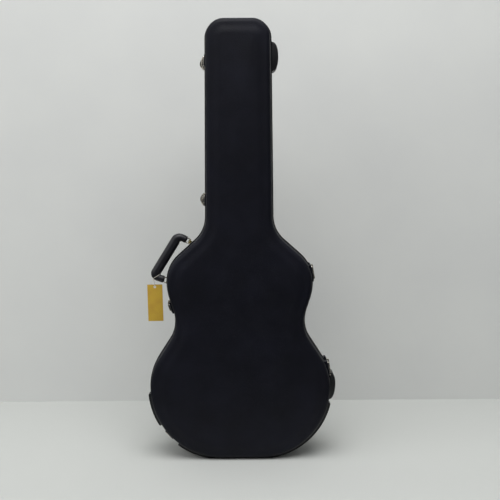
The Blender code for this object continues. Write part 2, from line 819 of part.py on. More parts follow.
def make_latches(base, lid):
    px, py = hook_pivot()
    pivot = (LEVER_PIVOT_STAND, LEVER_PIVOT_Y)
    half = LATCH_PIN_HALF
    reach = LATCH_HALF + LATCH_MARGIN
    for number, frame in enumerate(latch_places(), 1):
        name = f"latch_{number}"
        plate = latch_plate(f"{name}_plate", frame)
        lever = latch_lever(f"{name}_lever", frame)
        hole_r = LEVER_PIN_R + PIN_CLEARANCE
        hole = rod_mesh(f"{name}_pin_hole", hole_r, (*pivot, -reach), (*pivot, reach))
        hole = place_cutter(hole, f"{name}_pin_hole", frame)
        cut(lever, hole)
        cut(plate, hole)
        link_r = HOOK_PIN_R + PIN_CLEARANCE
        link = rod_mesh(f"{name}_link_hole", link_r, (px, py, -reach), (px, py, reach))
        cut(lever, place_cutter(link, f"{name}_link_hole", frame))
        latch_hook(f"{name}_hook", frame)
        pin = rod_mesh(f"{name}_pin", LEVER_PIN_R, (*pivot, -half), (*pivot, half))
        place(pin, f"{name}_pin", NICKEL, frame)
        latch_catch(f"{name}_catch", frame)
        top = LATCH_PLATE_STAND - FIT
        moulded_pad(f"{name}_base_pad", base, frame, top, LATCH_PLATE_END, reach + LATCH_MARGIN)
        moulded_pad(f"{name}_lid_pad", lid, frame, top, CATCH_END, CATCH_HALF + PAD_MARGIN)


# Handle


def handle_frame():
    """X outwards from the swing axis, Y deep, Z along the axis from the upper to the lower bracket."""
    ends = []
    for z in (HANDLE_UPPER_Z, HANDLE_LOWER_Z):
        point, _ = edge_frame(z, -1, wall_inset(HANDLE_Y))
        ends.append(point)
    along = (ends[1] - ends[0]).normalized()
    outward = Vector((along.z, 0, -along.x))
    middle = (ends[0] + ends[1]) / 2 + outward * HANDLE_AXIS_STAND
    return local_frame(middle, outward, HANDLE_Y), (ends[1] - ends[0]).length


def curve_object(name, points, radius, sides_resolution, radii=None, cyclic=False):
    curve = bpy.data.curves.new(name, "CURVE")
    curve.dimensions = "3D"
    curve.bevel_depth = radius
    curve.bevel_resolution = sides_resolution
    curve.use_fill_caps = True
    spline = curve.splines.new("POLY")
    spline.points.add(len(points) - 1)
    for i, point in enumerate(points):
        spline.points[i].co = (*point, 1.0)
        spline.points[i].radius = radii[i] if radii else 1.0
    spline.use_cyclic_u = cyclic
    return bpy.data.objects.new(name, curve)


def tube_mesh(name, points, radius, sides_resolution, radii=None, cyclic=False):
    """A tube as a closed mesh, with its caps welded."""
    guide = curve_object(f"{name}_guide", points, radius, sides_resolution, radii, cyclic)
    CUTTERS.objects.link(guide)
    bpy.context.view_layer.update()
    graph = bpy.context.evaluated_depsgraph_get()
    mesh = bpy.data.meshes.new_from_object(guide.evaluated_get(graph))
    bpy.data.objects.remove(guide, do_unlink=True)
    bm = bmesh.new()
    bm.from_mesh(mesh)
    bmesh.ops.remove_doubles(bm, verts=bm.verts, dist=1e-6)
    bpy.data.meshes.remove(mesh)
    return mesh_from(bm, name)


def bend(corner, start_angle, end_angle, radius, count=5):
    return [
        (corner[0] + radius * math.cos(a), 0, corner[1] + radius * math.sin(a))
        for a in np.linspace(start_angle, end_angle, count)
    ]


def grip_ends(span):
    """Where each leg ends: distance out from the axis and place along it, upper leg first."""
    return (UPPER_LEG_REACH, -span / 2), (LOWER_LEG_REACH, span / 2)


def bar_reach(z):
    """Distance of the bar's middle line from the swing axis."""
    return HANDLE_REACH - z * math.tan(HANDLE_SKEW)


def grip_path(span):
    """The line through the handle: a leg, a bend, the bar, a bend and a leg."""
    (upper_x, upper_z), (lower_x, lower_z) = grip_ends(span)
    r = GRIP_BEND_R
    upper_centre = bar_reach(upper_z) - r
    lower_centre = bar_reach(lower_z) - r
    straight = r / 10
    path = [(upper_x, 0, upper_z), (upper_centre - straight, 0, upper_z)]
    path += bend((upper_centre, upper_z + r), -math.pi / 2, HANDLE_SKEW, r)
    path.append((bar_reach(0), 0, 0))
    path += bend((lower_centre, lower_z - r), HANDLE_SKEW, math.pi / 2, r)
    path += [(lower_centre - straight, 0, lower_z), (lower_x, 0, lower_z)]
    return path


def grip_radii(path):
    """The legs are a little thinner than the bar."""
    radii = []
    for i in range(len(path)):
        share = min(i, len(path) - 1 - i, 4) / 4
        radii.append(LEG_R / GRIP_R + (1 - LEG_R / GRIP_R) * share)
    return radii


def loop_path(reach, z):
    """Half of a ring: two arms that end at the leg and a bar through the bracket."""
    top = reach - FIT
    low, high = z - LOOP_HALF, z + LOOP_HALF
    near = LOOP_CORNER * 0.3
    path = [(top, 0, low), (LOOP_CORNER, 0, low), (near, 0, low + near), (0, 0, low + LOOP_CORNER)]
    path += [(0, 0, high - LOOP_CORNER), (near, 0, high - near), (LOOP_CORNER, 0, high), (top, 0, high)]
    return path


def bracket(name, z, axis_frame, along_z, base_seat):
    """A riveted plate with a barrel that the loop's bar turns in."""
    point, outward = edge_frame(z, -1, wall_inset(HANDLE_Y))
    wall_frame = local_frame(point, outward, HANDLE_Y)
    half_w, half_l = BRACKET_WIDTH / 2, BRACKET_LENGTH / 2
    mesh = box_mesh(name, (-0.004, -half_w, -half_l), (BRACKET_PLATE + FIT, half_w, half_l))
    plate = place(mesh, name, BRASS, wall_frame)
    foot = box_mesh(
        f"{name}_foot",
        (-HANDLE_AXIS_STAND - 0.002, -BARREL_R * 0.95, along_z - BARREL_LENGTH / 2),
        (0, BARREL_R * 0.95, along_z + BARREL_LENGTH / 2),
    )
    join(plate, place_cutter(foot, f"{name}_foot", axis_frame))
    start, end = along_z - BARREL_LENGTH / 2, along_z + BARREL_LENGTH / 2
    barrel = rod_mesh(f"{name}_barrel", BARREL_R, (0, 0, start), (0, 0, end))
    join(plate, place_cutter(barrel, f"{name}_barrel", axis_frame))
    bore = rod_mesh(
        f"{name}_bore", LOOP_WIRE_R + 2 * PIN_CLEARANCE, (0, 0, start - 0.002), (0, 0, end + 0.002)
    )
    cut(plate, place_cutter(bore, f"{name}_bore", axis_frame))
    cut(plate, base_seat)
    return plate


def make_handle(base_seat):
    frame, span = handle_frame()
    path = grip_path(span)
    grip = tube_mesh("handle_grip", path, GRIP_R, 4, grip_radii(path))
    place(grip, "handle_grip", HANDLE_PLASTIC, frame)
    names = ("upper", "lower")
    heights = (HANDLE_UPPER_Z, HANDLE_LOWER_Z)
    for part, z, (reach, along_z) in zip(names, heights, grip_ends(span)):
        wire = tube_mesh(f"handle_loop_{part}", loop_path(reach, along_z), LOOP_WIRE_R, 2)
        place(wire, f"handle_loop_{part}", NICKEL, frame)
        bracket(f"handle_bracket_{part}", z, frame, along_z, base_seat)
    return frame


# Inside


def tray(name, sign, depth, top, wall, floor, stuff):
    """A padded tray that lines one shell: a wall round the outline and a floor."""
    inner_face = depth - WALL - FIT
    shell_in = wall_inset(sign * (depth - EDGE_R)) + WALL + FIT
    rim_in = RIM_DEPTH + FIT
    round_in = EDGE_R - WALL
    outside = [
        (shell_in + round_in, sign * inner_face),
        (shell_in, sign * (inner_face - round_in)),
        (max(rim_in, wall_inset(sign * depth / 3) + WALL + FIT), sign * depth / 3),
        (rim_in, sign * top),
    ]
    lip = min(LINING_ROUND, wall / 2)
    inside = [
        (rim_in + wall - lip, sign * top),
        (rim_in + wall, sign * (top + lip)),
        (shell_in + wall, sign * (inner_face - floor)),
    ]
    return place(loft_mesh(name, outside + inside), name, stuff)


def cavity_half(z):
    """Half of the clear width between the lining's walls, at its narrow end above a height."""
    inset = wall_inset(BASE_DEPTH - EDGE_R) + WALL + FIT + LINING_WALL
    return half_width(z, inset)


def make_neck_rest(floor_y):
    top = NECK_REST_Z + NECK_REST_LENGTH
    half = min(cavity_half(NECK_REST_Z), cavity_half(top)) - FIT
    mesh = box_mesh("neck_rest", (-half, NECK_REST_TOP, NECK_REST_Z), (half, floor_y, top))
    rest = place(mesh, "neck_rest", PLUSH)
    bevel(rest, 0.003, 2)
    notch = box_mesh(
        "neck_notch",
        (-NECK_NOTCH_HALF, NECK_REST_TOP - 0.02, NECK_REST_Z - 0.01),
        (NECK_NOTCH_HALF, NECK_NOTCH_BOTTOM, top + 0.01),
    )
    notch = place_cutter(notch, "neck_notch")
    bevel(notch, 0.010, 3)
    cut(rest, notch)
    return top


def make_accessory_box(floor_y, start):
    low, high = start + FIT, start + FIT + BOX_LENGTH
    half = min(cavity_half(low), cavity_half(high)) - FIT
    box = place(box_mesh("accessory_box", (-half, BOX_TOP, low), (half, floor_y, high)), "accessory_box", PLUSH)
    room = box_mesh(
        "accessory_room",
        (-half + BOX_WALL, BOX_TOP - 0.01, low + BOX_WALL),
        (half - BOX_WALL, floor_y - BOX_WALL, high - BOX_WALL),
    )
    cut(box, place_cutter(room, "accessory_room"))
    pin_z = high - BOX_WALL - FLAP_GAP - FLAP_THICK / 2
    pin_y = BOX_TOP + FLAP_THICK / 2
    reach = half - BOX_WALL / 2
    bore = rod_mesh(
        "flap_pin_bore", FLAP_PIN_R + PIN_CLEARANCE, (-reach - FIT, pin_y, pin_z), (reach + FIT, pin_y, pin_z), 12
    )
    bore = place_cutter(bore, "flap_pin_bore")
    cut(box, bore)
    flap_half = half - BOX_WALL - FLAP_GAP
    flap_low = low + BOX_WALL + FLAP_GAP
    flap = box_mesh(
        "accessory_flap",
        (-flap_half, BOX_TOP, flap_low),
        (flap_half, BOX_TOP + FLAP_THICK, pin_z),
    )
    flap = place(flap, "accessory_flap", PLUSH)
    roll = rod_mesh(
        "flap_roll", FLAP_THICK / 2, (-flap_half, pin_y, pin_z), (flap_half, pin_y, pin_z), 14
    )
    join(flap, place_cutter(roll, "flap_roll"))
    cut(flap, bore)
    pin = rod_mesh("accessory_pin", FLAP_PIN_R, (-reach, pin_y, pin_z), (reach, pin_y, pin_z), 12)
    place(pin, "accessory_pin", NICKEL)
    tab_low = flap_low + 0.004
    tab = box_mesh(
        "pull_tab",
        (-TAB_WIDTH / 2, BOX_TOP - FIT - TAB_THICK, tab_low),
        (TAB_WIDTH / 2, BOX_TOP - FIT, tab_low + TAB_LENGTH),
    )
    place(tab, "pull_tab", RIBBON)


def make_inside():
    tray("base_lining", 1, BASE_DEPTH, LINING_TOP, LINING_WALL, LINING_FLOOR, PLUSH)
    tray("lid_lining", -1, LID_DEPTH, LINING_TOP, LID_LINING_WALL, LID_LINING_FLOOR, PLUSH)
    floor_y = BASE_DEPTH - WALL - FIT - LINING_FLOOR - FIT
    top = make_neck_rest(floor_y)
    make_accessory_box(floor_y, top)


# Tag


def tag_anchor(frame):
    """The outer lower corner of the handle, in the case frame, where the string goes round it."""
    _, span = handle_frame()
    corner = Vector((bar_reach(span / 2) - GRIP_BEND_R, 0, span / 2 - GRIP_BEND_R))
    diagonal = Vector((1, 0, 1)).normalized()
    centre = frame @ (corner + diagonal * GRIP_BEND_R)
    outward = (frame.to_3x3() @ diagonal).normalized()
    return centre, outward


def string_path(frame, hole):
    """Round the handle's corner and down through the tag's hole, as one loop."""
    centre, outward = tag_anchor(frame)
    gap = GRIP_R + STRING_R + 2 * FIT
    deep = Vector((0, 1, 0))
    path = []
    for angle in np.linspace(math.radians(-150), math.radians(150), 19):
        path.append(centre - outward * gap * math.cos(angle) + deep * gap * math.sin(angle))
    front, back = path[0], path[-1]
    slack = TAG_THICK / 2 + STRING_R + FIT
    hole_front = hole + Vector((0, -slack, 0))
    hole_back = hole + Vector((0, slack, 0))
    down = [front.lerp(hole_front, s) for s in (0.9, 0.6, 0.3)]
    up = [back.lerp(hole_back, s) for s in (0.3, 0.6, 0.9)]
    through = [hole_back, hole + Vector((0, 0, -STRING_R * 0.5)), hole_front]
    return path + up + through + down


def make_tag(frame):
    centre, outward = tag_anchor(frame)
    start = centre + outward * (GRIP_R + 2 * STRING_R)
    hole = Vector((start.x, centre.y, start.z - TAG_DROP))
    lean = Matrix.Rotation(TAG_LEAN, 4, "Y")
    matrix = Matrix.Translation(hole) @ lean
    mesh = box_mesh(
        "hang_tag",
        (-TAG_WIDTH / 2, -TAG_THICK / 2, TAG_HOLE_DOWN - TAG_LENGTH),
        (TAG_WIDTH / 2, TAG_THICK / 2, TAG_HOLE_DOWN),
    )
    tag = place(mesh, "hang_tag", TAG_PAPER, matrix)
    eye = rod_mesh("tag_eye", TAG_HOLE_R, (0, -0.005, 0), (0, 0.005, 0))
    cut(tag, place_cutter(eye, "tag_eye", matrix))
    path = string_path(frame, hole)
    string = tube_mesh("tag_string", path, STRING_R, 1, cyclic=True)
    place(string, "tag_string", STRING_COTTON)


def stand_on_origin():
    """Moves the case frame so that the origin is under the middle of the case, tag left out."""
    bpy.context.view_layer.update()
    graph = bpy.context.evaluated_depsgraph_get()
    corners = []
    for obj in PARTS.objects:
        if obj.type != "MESH" or obj.name in ("hang_tag", "tag_string"):
            continue
        seen = obj.evaluated_get(graph)
        corners += [seen.matrix_world @ Vector(corner) for corner in seen.bound_box]
    low = [min(corner[i] for corner in corners) for i in range(3)]
    high = [max(corner[i] for corner in corners) for i in range(3)]
    FRAME.location = (-(low[0] + high[0]) / 2, -(low[1] + high[1]) / 2, -low[2])
    bpy.context.view_layer.update()


def main():
    base_obj, lid_obj = make_shells()
    base = (base_obj, core_cutter("base_core", BASE_DEPTH, 1), 1)
    lid = (lid_obj, core_cutter("lid_core", LID_DEPTH, -1), -1)
    base_seat = seat_cutter("base_seat", -0.001, BASE_DEPTH, 1)
    lid_seat = seat_cutter("lid_seat", -0.001, LID_DEPTH, -1)
    make_rims()
    make_bumpers(base_seat, lid_seat)
    make_feet(base_seat)
    make_hinges(base, lid)
    make_latches(base, lid)
    frame = make_handle(base_seat)
    make_inside()
    make_tag(frame)
    stand_on_origin()


main()
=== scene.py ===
import json
import math

import bmesh
import bpy
import numpy as np
from mathutils import Matrix, Vector


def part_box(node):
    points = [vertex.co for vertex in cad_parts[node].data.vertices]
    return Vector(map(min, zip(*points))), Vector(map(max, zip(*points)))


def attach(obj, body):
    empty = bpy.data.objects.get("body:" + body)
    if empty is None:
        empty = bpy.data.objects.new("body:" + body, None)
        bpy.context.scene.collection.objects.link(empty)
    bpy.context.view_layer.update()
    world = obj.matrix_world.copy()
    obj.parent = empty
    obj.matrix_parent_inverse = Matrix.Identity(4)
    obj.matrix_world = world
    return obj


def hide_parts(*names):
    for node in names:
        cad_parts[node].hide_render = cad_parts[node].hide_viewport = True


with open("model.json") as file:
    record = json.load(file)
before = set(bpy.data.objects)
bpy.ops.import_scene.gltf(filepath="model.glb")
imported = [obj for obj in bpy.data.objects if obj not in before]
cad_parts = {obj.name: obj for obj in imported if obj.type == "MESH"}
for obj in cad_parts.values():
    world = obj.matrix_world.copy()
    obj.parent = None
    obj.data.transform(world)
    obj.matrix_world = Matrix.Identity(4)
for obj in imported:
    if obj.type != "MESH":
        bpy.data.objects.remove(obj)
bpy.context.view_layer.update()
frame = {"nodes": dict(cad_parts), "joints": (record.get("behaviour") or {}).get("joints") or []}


# Moulded halves
# Two trays of black ABS, vacuum formed over a grained mould, the base deep and the lid shallow.
# Their faces are a little crowned, and flats are moulded on the walls where fittings are riveted.

RIM_LOW, RIM_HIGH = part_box("base_rim")
PARTING_GAP = 0.0003
CASE_PLACE = Vector(((RIM_LOW.x + RIM_HIGH.x) / 2, RIM_LOW.y - PARTING_GAP / 2, 0.0))

CASE_HEIGHT = 1.105
HEAD_HALF = 0.0824
HEAD_CORNER_R = 0.048
NECK_FOOT_HALF = 0.0862
FLARE_R = 0.079
FLARE_Z = 0.621
UPPER_HALF = 0.1857
UPPER_Z = 0.456
UPPER_HIGH_R = 0.091
UPPER_LOW_R = 0.150
WAIST_HALF = 0.1652
WAIST_Z = 0.356
WAIST_R = 0.086
LOWER_HALF = 0.2315
LOWER_LOW_R = 0.184
LOWER_HIGH_R = 0.150
FRAME_STEP = math.radians(10.5)
SKIN_STEP = math.radians(3)

LID_DEPTH = 0.050
BASE_DEPTH = 0.105
WALL = 0.003
SET_IN = 0.0015
LID_DRAFT = 0.003
BASE_DRAFT = 0.004
EDGE_R = 0.013
CROWN = 0.004
CROWN_BAND = 0.042
RIM_PLATE = 0.0012
RIM_GROOVE = 0.0036
RIM_SKIRT = 0.014
FIT = 0.0003
ON_PLANE = 1e-5


def srgb(code):
    """A hex colour as the linear colour that Blender's sockets hold."""
    parts = [int(code[i : i + 2], 16) / 255 for i in (1, 3, 5)]
    linear = [c / 12.92 if c <= 0.04045 else ((c + 0.055) / 1.055) ** 2.4 for c in parts]
    return (*linear, 1.0)


def add(stuff, kind, inputs=(), **settings):
    """Adds a node to a material, sets its fields, and sets or links its inputs."""
    tree = stuff.node_tree
    node = tree.nodes.new(kind)
    for field, value in settings.items():
        setattr(node, field, value)
    for name, value in dict(inputs).items():
        if isinstance(value, bpy.types.NodeSocket):
            tree.links.new(value, node.inputs[name])
        else:
            node.inputs[name].default_value = value
    return node


def new_material(name):
    """An empty material, with the object's own coordinates in metres."""
    stuff = bpy.data.materials.new(name)
    stuff.use_nodes = True
    stuff.node_tree.nodes.clear()
    place = add(stuff, "ShaderNodeTexCoord")
    return stuff, place.outputs["Object"]


def surface(stuff, inputs):
    """Ends a material with its shader."""
    shader = add(stuff, "ShaderNodeBsdfPrincipled", inputs)
    add(stuff, "ShaderNodeOutputMaterial", {"Surface": shader.outputs["BSDF"]})
    return stuff


def two_tones(stuff, factor, low, high, dark, light):
    """Two colours, blended where the pattern lies between two values."""
    ramp = add(stuff, "ShaderNodeValToRGB", {"Fac": factor})
    ramp.color_ramp.elements[0].position = low
    ramp.color_ramp.elements[0].color = srgb(dark)
    ramp.color_ramp.elements[1].position = high
    ramp.color_ramp.elements[1].color = srgb(light)
    return ramp.outputs["Color"]


# Vacuum formed ABS: a haircell grain of about 1.2 mm, which would be lost at this size, so it is
# drawn at 2.6 mm. It scatters the room's light into a soft grey sheen that turns black face on.
GRAIN = 0.0026
CLOUD = 0.09
SCUFF = 0.03
abs_grained, at = new_material("vacuum_formed_abs")
cells = add(abs_grained, "ShaderNodeTexVoronoi", {"Vector": at, "Scale": 1 / GRAIN}, feature="F1")
cloud = add(abs_grained, "ShaderNodeTexNoise", {"Vector": at, "Scale": 1 / CLOUD, "Detail": 3.0})
scuff = add(abs_grained, "ShaderNodeTexNoise", {"Vector": at, "Scale": 1 / SCUFF, "Detail": 6.0})
tone = two_tones(abs_grained, cloud.outputs["Fac"], 0.35, 0.7, "#0F1018", "#14151F")
gloss = add(
    abs_grained,
    "ShaderNodeMapRange",
    {"Value": scuff.outputs["Fac"], "From Min": 0.3, "From Max": 0.7, "To Min": 0.46, "To Max": 0.57},
)
grain = add(
    abs_grained,
    "ShaderNodeBump",
    {"Height": cells.outputs["Distance"], "Strength": 0.35, "Distance": 0.0006},
)
surface(
    abs_grained,
    {
        "Base Color": tone,
        "Roughness": gloss.outputs["Result"],
        "Normal": grain.outputs["Normal"],
        "IOR": 1.53,
        "Specular IOR Level": 0.15,
    },
)


def half_circles():
    """Centre x, centre z and signed radius, from the lower bout to the head. Minus bends inwards."""
    return [
        (LOWER_HALF - LOWER_LOW_R, LOWER_LOW_R, LOWER_LOW_R),
        (LOWER_HALF - LOWER_HIGH_R, LOWER_LOW_R, LOWER_HIGH_R),
        (WAIST_HALF + WAIST_R, WAIST_Z, -WAIST_R),
        (UPPER_HALF - UPPER_LOW_R, UPPER_Z, UPPER_LOW_R),
        (UPPER_HALF - UPPER_HIGH_R, UPPER_Z, UPPER_HIGH_R),
        (NECK_FOOT_HALF + FLARE_R, FLARE_Z, -FLARE_R),
        (HEAD_HALF - HEAD_CORNER_R, CASE_HEIGHT - HEAD_CORNER_R, HEAD_CORNER_R),
    ]


def heading(first, second):
    """The direction of the line that leaves one circle and meets the next, as an angle from +X."""
    dx, dz = second[0] - first[0], second[1] - first[1]
    across = second[2] - first[2]
    ahead = math.sqrt(max(dx * dx + dz * dz - across * across, 0.0))
    return math.atan2(ahead * dz - across * dx, ahead * dx + across * dz)


def mark_point(mark, inset):
    (cx, cz, radius), angle = mark
    return cx + (radius - inset) * math.sin(angle), cz - (radius - inset) * math.cos(angle)


def outline_marks(step):
    """Every point of the right half: its circle and the direction in which the outline runs."""
    circles = half_circles()
    headings = [0.0] + [heading(a, b) for a, b in zip(circles, circles[1:])] + [math.pi]
    marks = []
    for circle, start, end in zip(circles, headings, headings[1:]):
        count = max(2, math.ceil(abs(end - start) / step) + 1)
        for angle in np.linspace(start, end, count):
            mark = (circle, float(angle))
            if not marks or math.dist(mark_point(mark, 0), mark_point(marks[-1], 0)) > 1e-4:
                marks.append(mark)
    return marks


FRAME_MARKS = outline_marks(FRAME_STEP)
SKIN_MARKS = outline_marks(SKIN_STEP)


def outline(inset, y, marks=SKIN_MARKS):
    """The closed outline as points, drawn in by the inset, at a depth from the parting line."""
    right = [mark_point(mark, inset) for mark in marks]
    return [(x, y, z) for x, z in right] + [(-x, y, z) for x, z in reversed(right)]


def edge_frame(z, side, inset=0.0):
    """The point on the frame's edge at a height, and the way out from it. Side is 1 or -1."""
    for first, second in zip(FRAME_MARKS, FRAME_MARKS[1:]):
        start, end = mark_point(first, inset), mark_point(second, inset)
        if start[1] <= z <= end[1] and end[1] > start[1]:
            share = (z - start[1]) / (end[1] - start[1])
            angle = first[1] + share * (second[1] - first[1])
            point = Vector((side * (start[0] + share * (end[0] - start[0])), 0, z))
            return point, Vector((side * math.sin(angle), 0, -math.cos(angle)))
    raise ValueError("no edge at this height")


def local_frame(point, outward, y=0.0):
    """A frame on the edge: X points outwards, Y into the case's depth, Z along the edge."""
    out = Vector(outward).normalized()
    deep = Vector((0, 1, 0))
    turn = Matrix((out, deep, out.cross(deep))).transposed().to_4x4()
    return Matrix.Translation(Vector(point) + Vector((0, y, 0))) @ turn


def wall_inset(y):
    """How far the outside of a shell lies inside the outline, at a depth from the parting line."""
    if y < 0:
        return SET_IN + LID_DRAFT * -y / LID_DEPTH
    return SET_IN + BASE_DRAFT * y / BASE_DEPTH


def pick_only(obj):
    bpy.ops.object.select_all(action="DESELECT")
    obj.select_set(True)
    bpy.context.view_layer.objects.active = obj


def apply_modifier(obj, kind, **settings):
    """Adds a modifier with its settings and applies it."""
    pick_only(obj)
    modifier = obj.modifiers.new(kind.lower(), kind)
    for field, value in settings.items():
        setattr(modifier, field, value)
    bpy.ops.object.modifier_apply(modifier=modifier.name)


def new_object(name, data):
    """An object with this data, in the scene."""
    obj = bpy.data.objects.new(name, data)
    bpy.context.scene.collection.objects.link(obj)
    return obj


def mesh_object(name, points, faces):
    mesh = bpy.data.meshes.new(name)
    mesh.from_pydata([tuple(point) for point in points], [], faces)
    return new_object(name, mesh)


def primitive(name, operator, **settings):
    """Runs an operator that adds a mesh, and names the new object."""
    bpy.ops.object.select_all(action="DESELECT")
    operator(**settings)
    obj = bpy.context.object
    obj.name = name
    return obj


def loft(name, loops, caps=True, round_trip=False):
    """A skin over loops of points. Caps closes both ends, and round_trip joins them."""
    count = len(loops[0])
    faces = []
    for row in range(len(loops) - 1 + round_trip):
        first, second = row * count, (row + 1) % len(loops) * count
        for i in range(count):
            j = (i + 1) % count
            faces.append((first + i, first + j, second + j, second + i))
    if caps:
        faces.append(tuple(range(count)))
        faces.append(tuple(range(len(loops) * count - count, len(loops) * count)))
    obj = mesh_object(name, [point for loop in loops for point in loop], faces)
    tidy_mesh(obj)
    return obj


def tidy_mesh(obj):
    """Merges doubled points and turns every face outwards."""
    pick_only(obj)
    bpy.ops.object.mode_set(mode="EDIT")
    bpy.ops.mesh.select_all(action="SELECT")
    bpy.ops.mesh.remove_doubles(threshold=1e-6)
    bpy.ops.mesh.normals_make_consistent(inside=False)
    bpy.ops.object.mode_set(mode="OBJECT")


def block(name, low, high):
    """A box between two corners."""
    middle = [(a + b) / 2 for a, b in zip(low, high)]
    obj = primitive(name, bpy.ops.mesh.primitive_cube_add, size=1, location=middle)
    obj.scale = [b - a for a, b in zip(low, high)]
    bpy.ops.object.transform_apply(location=True, rotation=True, scale=True)
    return obj


def along(edge, axis):
    """True where an edge runs along one axis."""
    way = (edge.verts[0].co - edge.verts[1].co).normalized()
    return abs(way[axis]) > 0.99


def round_off(obj, width, segments, test):
    """Bevels the edges that pass the test."""
    pick_only(obj)
    bpy.ops.object.mode_set(mode="EDIT")
    bpy.ops.mesh.select_all(action="DESELECT")
    bpy.ops.mesh.select_mode(type="EDGE")
    mesh = bmesh.from_edit_mesh(obj.data)
    for edge in mesh.edges:
        edge.select_set(bool(test(edge)))
    bmesh.update_edit_mesh(obj.data)
    bpy.ops.mesh.bevel(offset=width, segments=segments, profile=0.5, affect="EDGES")
    bpy.ops.object.mode_set(mode="OBJECT")


def merge(first, *others):
    """Joins pieces of the same material into the first one."""
    bpy.ops.object.select_all(action="DESELECT")
    for obj in (first, *others):
        obj.select_set(True)
    bpy.context.view_layer.objects.active = first
    bpy.ops.object.join()
    return first


def cut(obj, other):
    """Takes the other solid out of this one."""
    apply_modifier(obj, "BOOLEAN", object=other, operation="DIFFERENCE", solver="EXACT")
    bpy.data.objects.remove(other, do_unlink=True)


def settle(obj, body, stuff, nodes=(), place=Matrix.Identity(4), smooth=35):
    """Puts a finished piece in its place with its origin at the frame's, gives it its material and
    smooth shading, hangs it on its body and hides the nodes it stands for.
    """
    obj.data.transform(Matrix.Translation(CASE_PLACE) @ place @ obj.matrix_world)
    obj.matrix_world = Matrix.Identity(4)
    obj.data.materials.clear()
    obj.data.materials.append(stuff)
    pick_only(obj)
    bpy.ops.object.shade_smooth_by_angle(angle=math.radians(smooth))
    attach(obj, body)
    if nodes:
        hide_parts(*nodes)
    return obj


def tray_loops(start, depth, sign, offset, bends, bands):
    """Loops of a tray's wall, from its rim over the rounded edge to the middle of its face."""
    radius = EDGE_R - offset
    wall_end = depth - EDGE_R
    foot = wall_inset(sign * wall_end) + offset
    stations = [(wall_inset(sign * start) + offset, start)]
    for turn in np.linspace(0, math.pi / 2, bends + 1):
        stations.append((foot + radius * (1 - math.cos(turn)), wall_end + radius * math.sin(turn)))
    for share in np.linspace(0, 1, bands + 1)[1:]:
        rise = share * share * (3 - 2 * share)
        inset = foot + radius + share * (CROWN_BAND - foot - radius)
        stations.append((inset, depth - offset + CROWN * rise))
    return [outline(inset, sign * y) for inset, y in stations]


PAD_MARGIN = 0.003
PAD_GAP = 0.001
PAD_SINK = 0.010
PAD_TOP_R = 0.0018
HINGE_HEIGHTS = (0.478, 0.232)
HINGE_LENGTH = 0.036
KNUCKLE_R = 0.0028
LEAF_REACH = 0.030
LATCH_HALF = 0.0165
LATCH_MARGIN = 0.0015
PLATE_STAND = 0.0005
PLATE_END = 0.0460
CATCH_END = 0.0300
CATCH_HALF = 0.0115
LEVER_PIVOT = (0.0046, 0.0125)


def joint_named(name):
    return next(joint for joint in frame["joints"] if joint["name"] == name)


def hinge_frames():
    """Frames on the two hinge pins, read from the lid's joint: Z is the pin."""
    joint = joint_named("lid_hinge")
    axis = Vector(joint["axis"]).normalized()
    start = Vector(joint["pos_m"]) - CASE_PLACE
    outward = Vector((axis.z, 0, -axis.x))
    centres = [start + axis * (z - start.z) / axis.z for z in HINGE_HEIGHTS]
    return [local_frame(centre, outward) for centre in centres]


def latch_frames():
    """Frames of the four latches, read from the lever joints: X out, Y deep, Z down the edge."""
    frames = []
    for number in range(1, 5):
        joint = joint_named(f"lever_{number}_pivot")
        axis = Vector(joint["axis"]).normalized()
        outward = Vector((-axis.z, 0, axis.x))
        at = Vector(joint["pos_m"]) - CASE_PLACE
        at -= outward * LEVER_PIVOT[0] + Vector((0, LEVER_PIVOT[1], 0))
        frames.append(local_frame(at, outward))
    return frames


HINGES = hinge_frames()
LATCHES = latch_frames()


def pads(sign, name):
    """The moulded flats of one half, under the hinge leaves and the latch plates or catches."""
    latch_end = PLATE_END if sign > 0 else CATCH_END
    latch_half = LATCH_HALF + 2 * LATCH_MARGIN if sign > 0 else CATCH_HALF + PAD_MARGIN
    spots = [(place, -KNUCKLE_R - FIT, LEAF_REACH, HINGE_LENGTH / 2 + PAD_MARGIN) for place in HINGES]
    spots += [(place, PLATE_STAND - FIT, latch_end, latch_half) for place in LATCHES]
    made = []
    for place, top, end, half in spots:
        ys = sorted((sign * (RIM_SKIRT + PAD_GAP), sign * (end + PAD_MARGIN)))
        pad = block(f"{name}_pad", (top - PAD_SINK, ys[0], -half), (top, ys[1], half))
        round_off(pad, PAD_TOP_R, 4, lambda edge: min(v.co.x for v in edge.verts) > top - ON_PLANE)
        pad.data.transform(place)
        made.append(pad)
    return made


for name, sign, start, depth in (
    ("base", 1, RIM_GROOVE + RIM_PLATE + FIT, BASE_DEPTH),
    ("lid", -1, RIM_PLATE + 2 * FIT, LID_DEPTH),
):
    outer_skin = tray_loops(start, depth, sign, 0.0, bends=8, bands=6)
    inner_skin = tray_loops(start, depth, sign, WALL, bends=5, bands=4)
    tray = loft(f"{name}_moulding", outer_skin[::-1] + inner_skin)
    merge(tray, *pads(sign, name))
    settle(tray, name, abs_grained, [f"{name}_shell"])


# Rims
# Two extruded aluminium bands, anodised black, bent round the halves and riveted from inside.
# The lid's tongue closes into the base's groove.

RIM_DEPTH = 0.006
TONGUE = 0.0016
TONGUE_REACH = 0.0026
RIM_CHAMFER = 0.0003

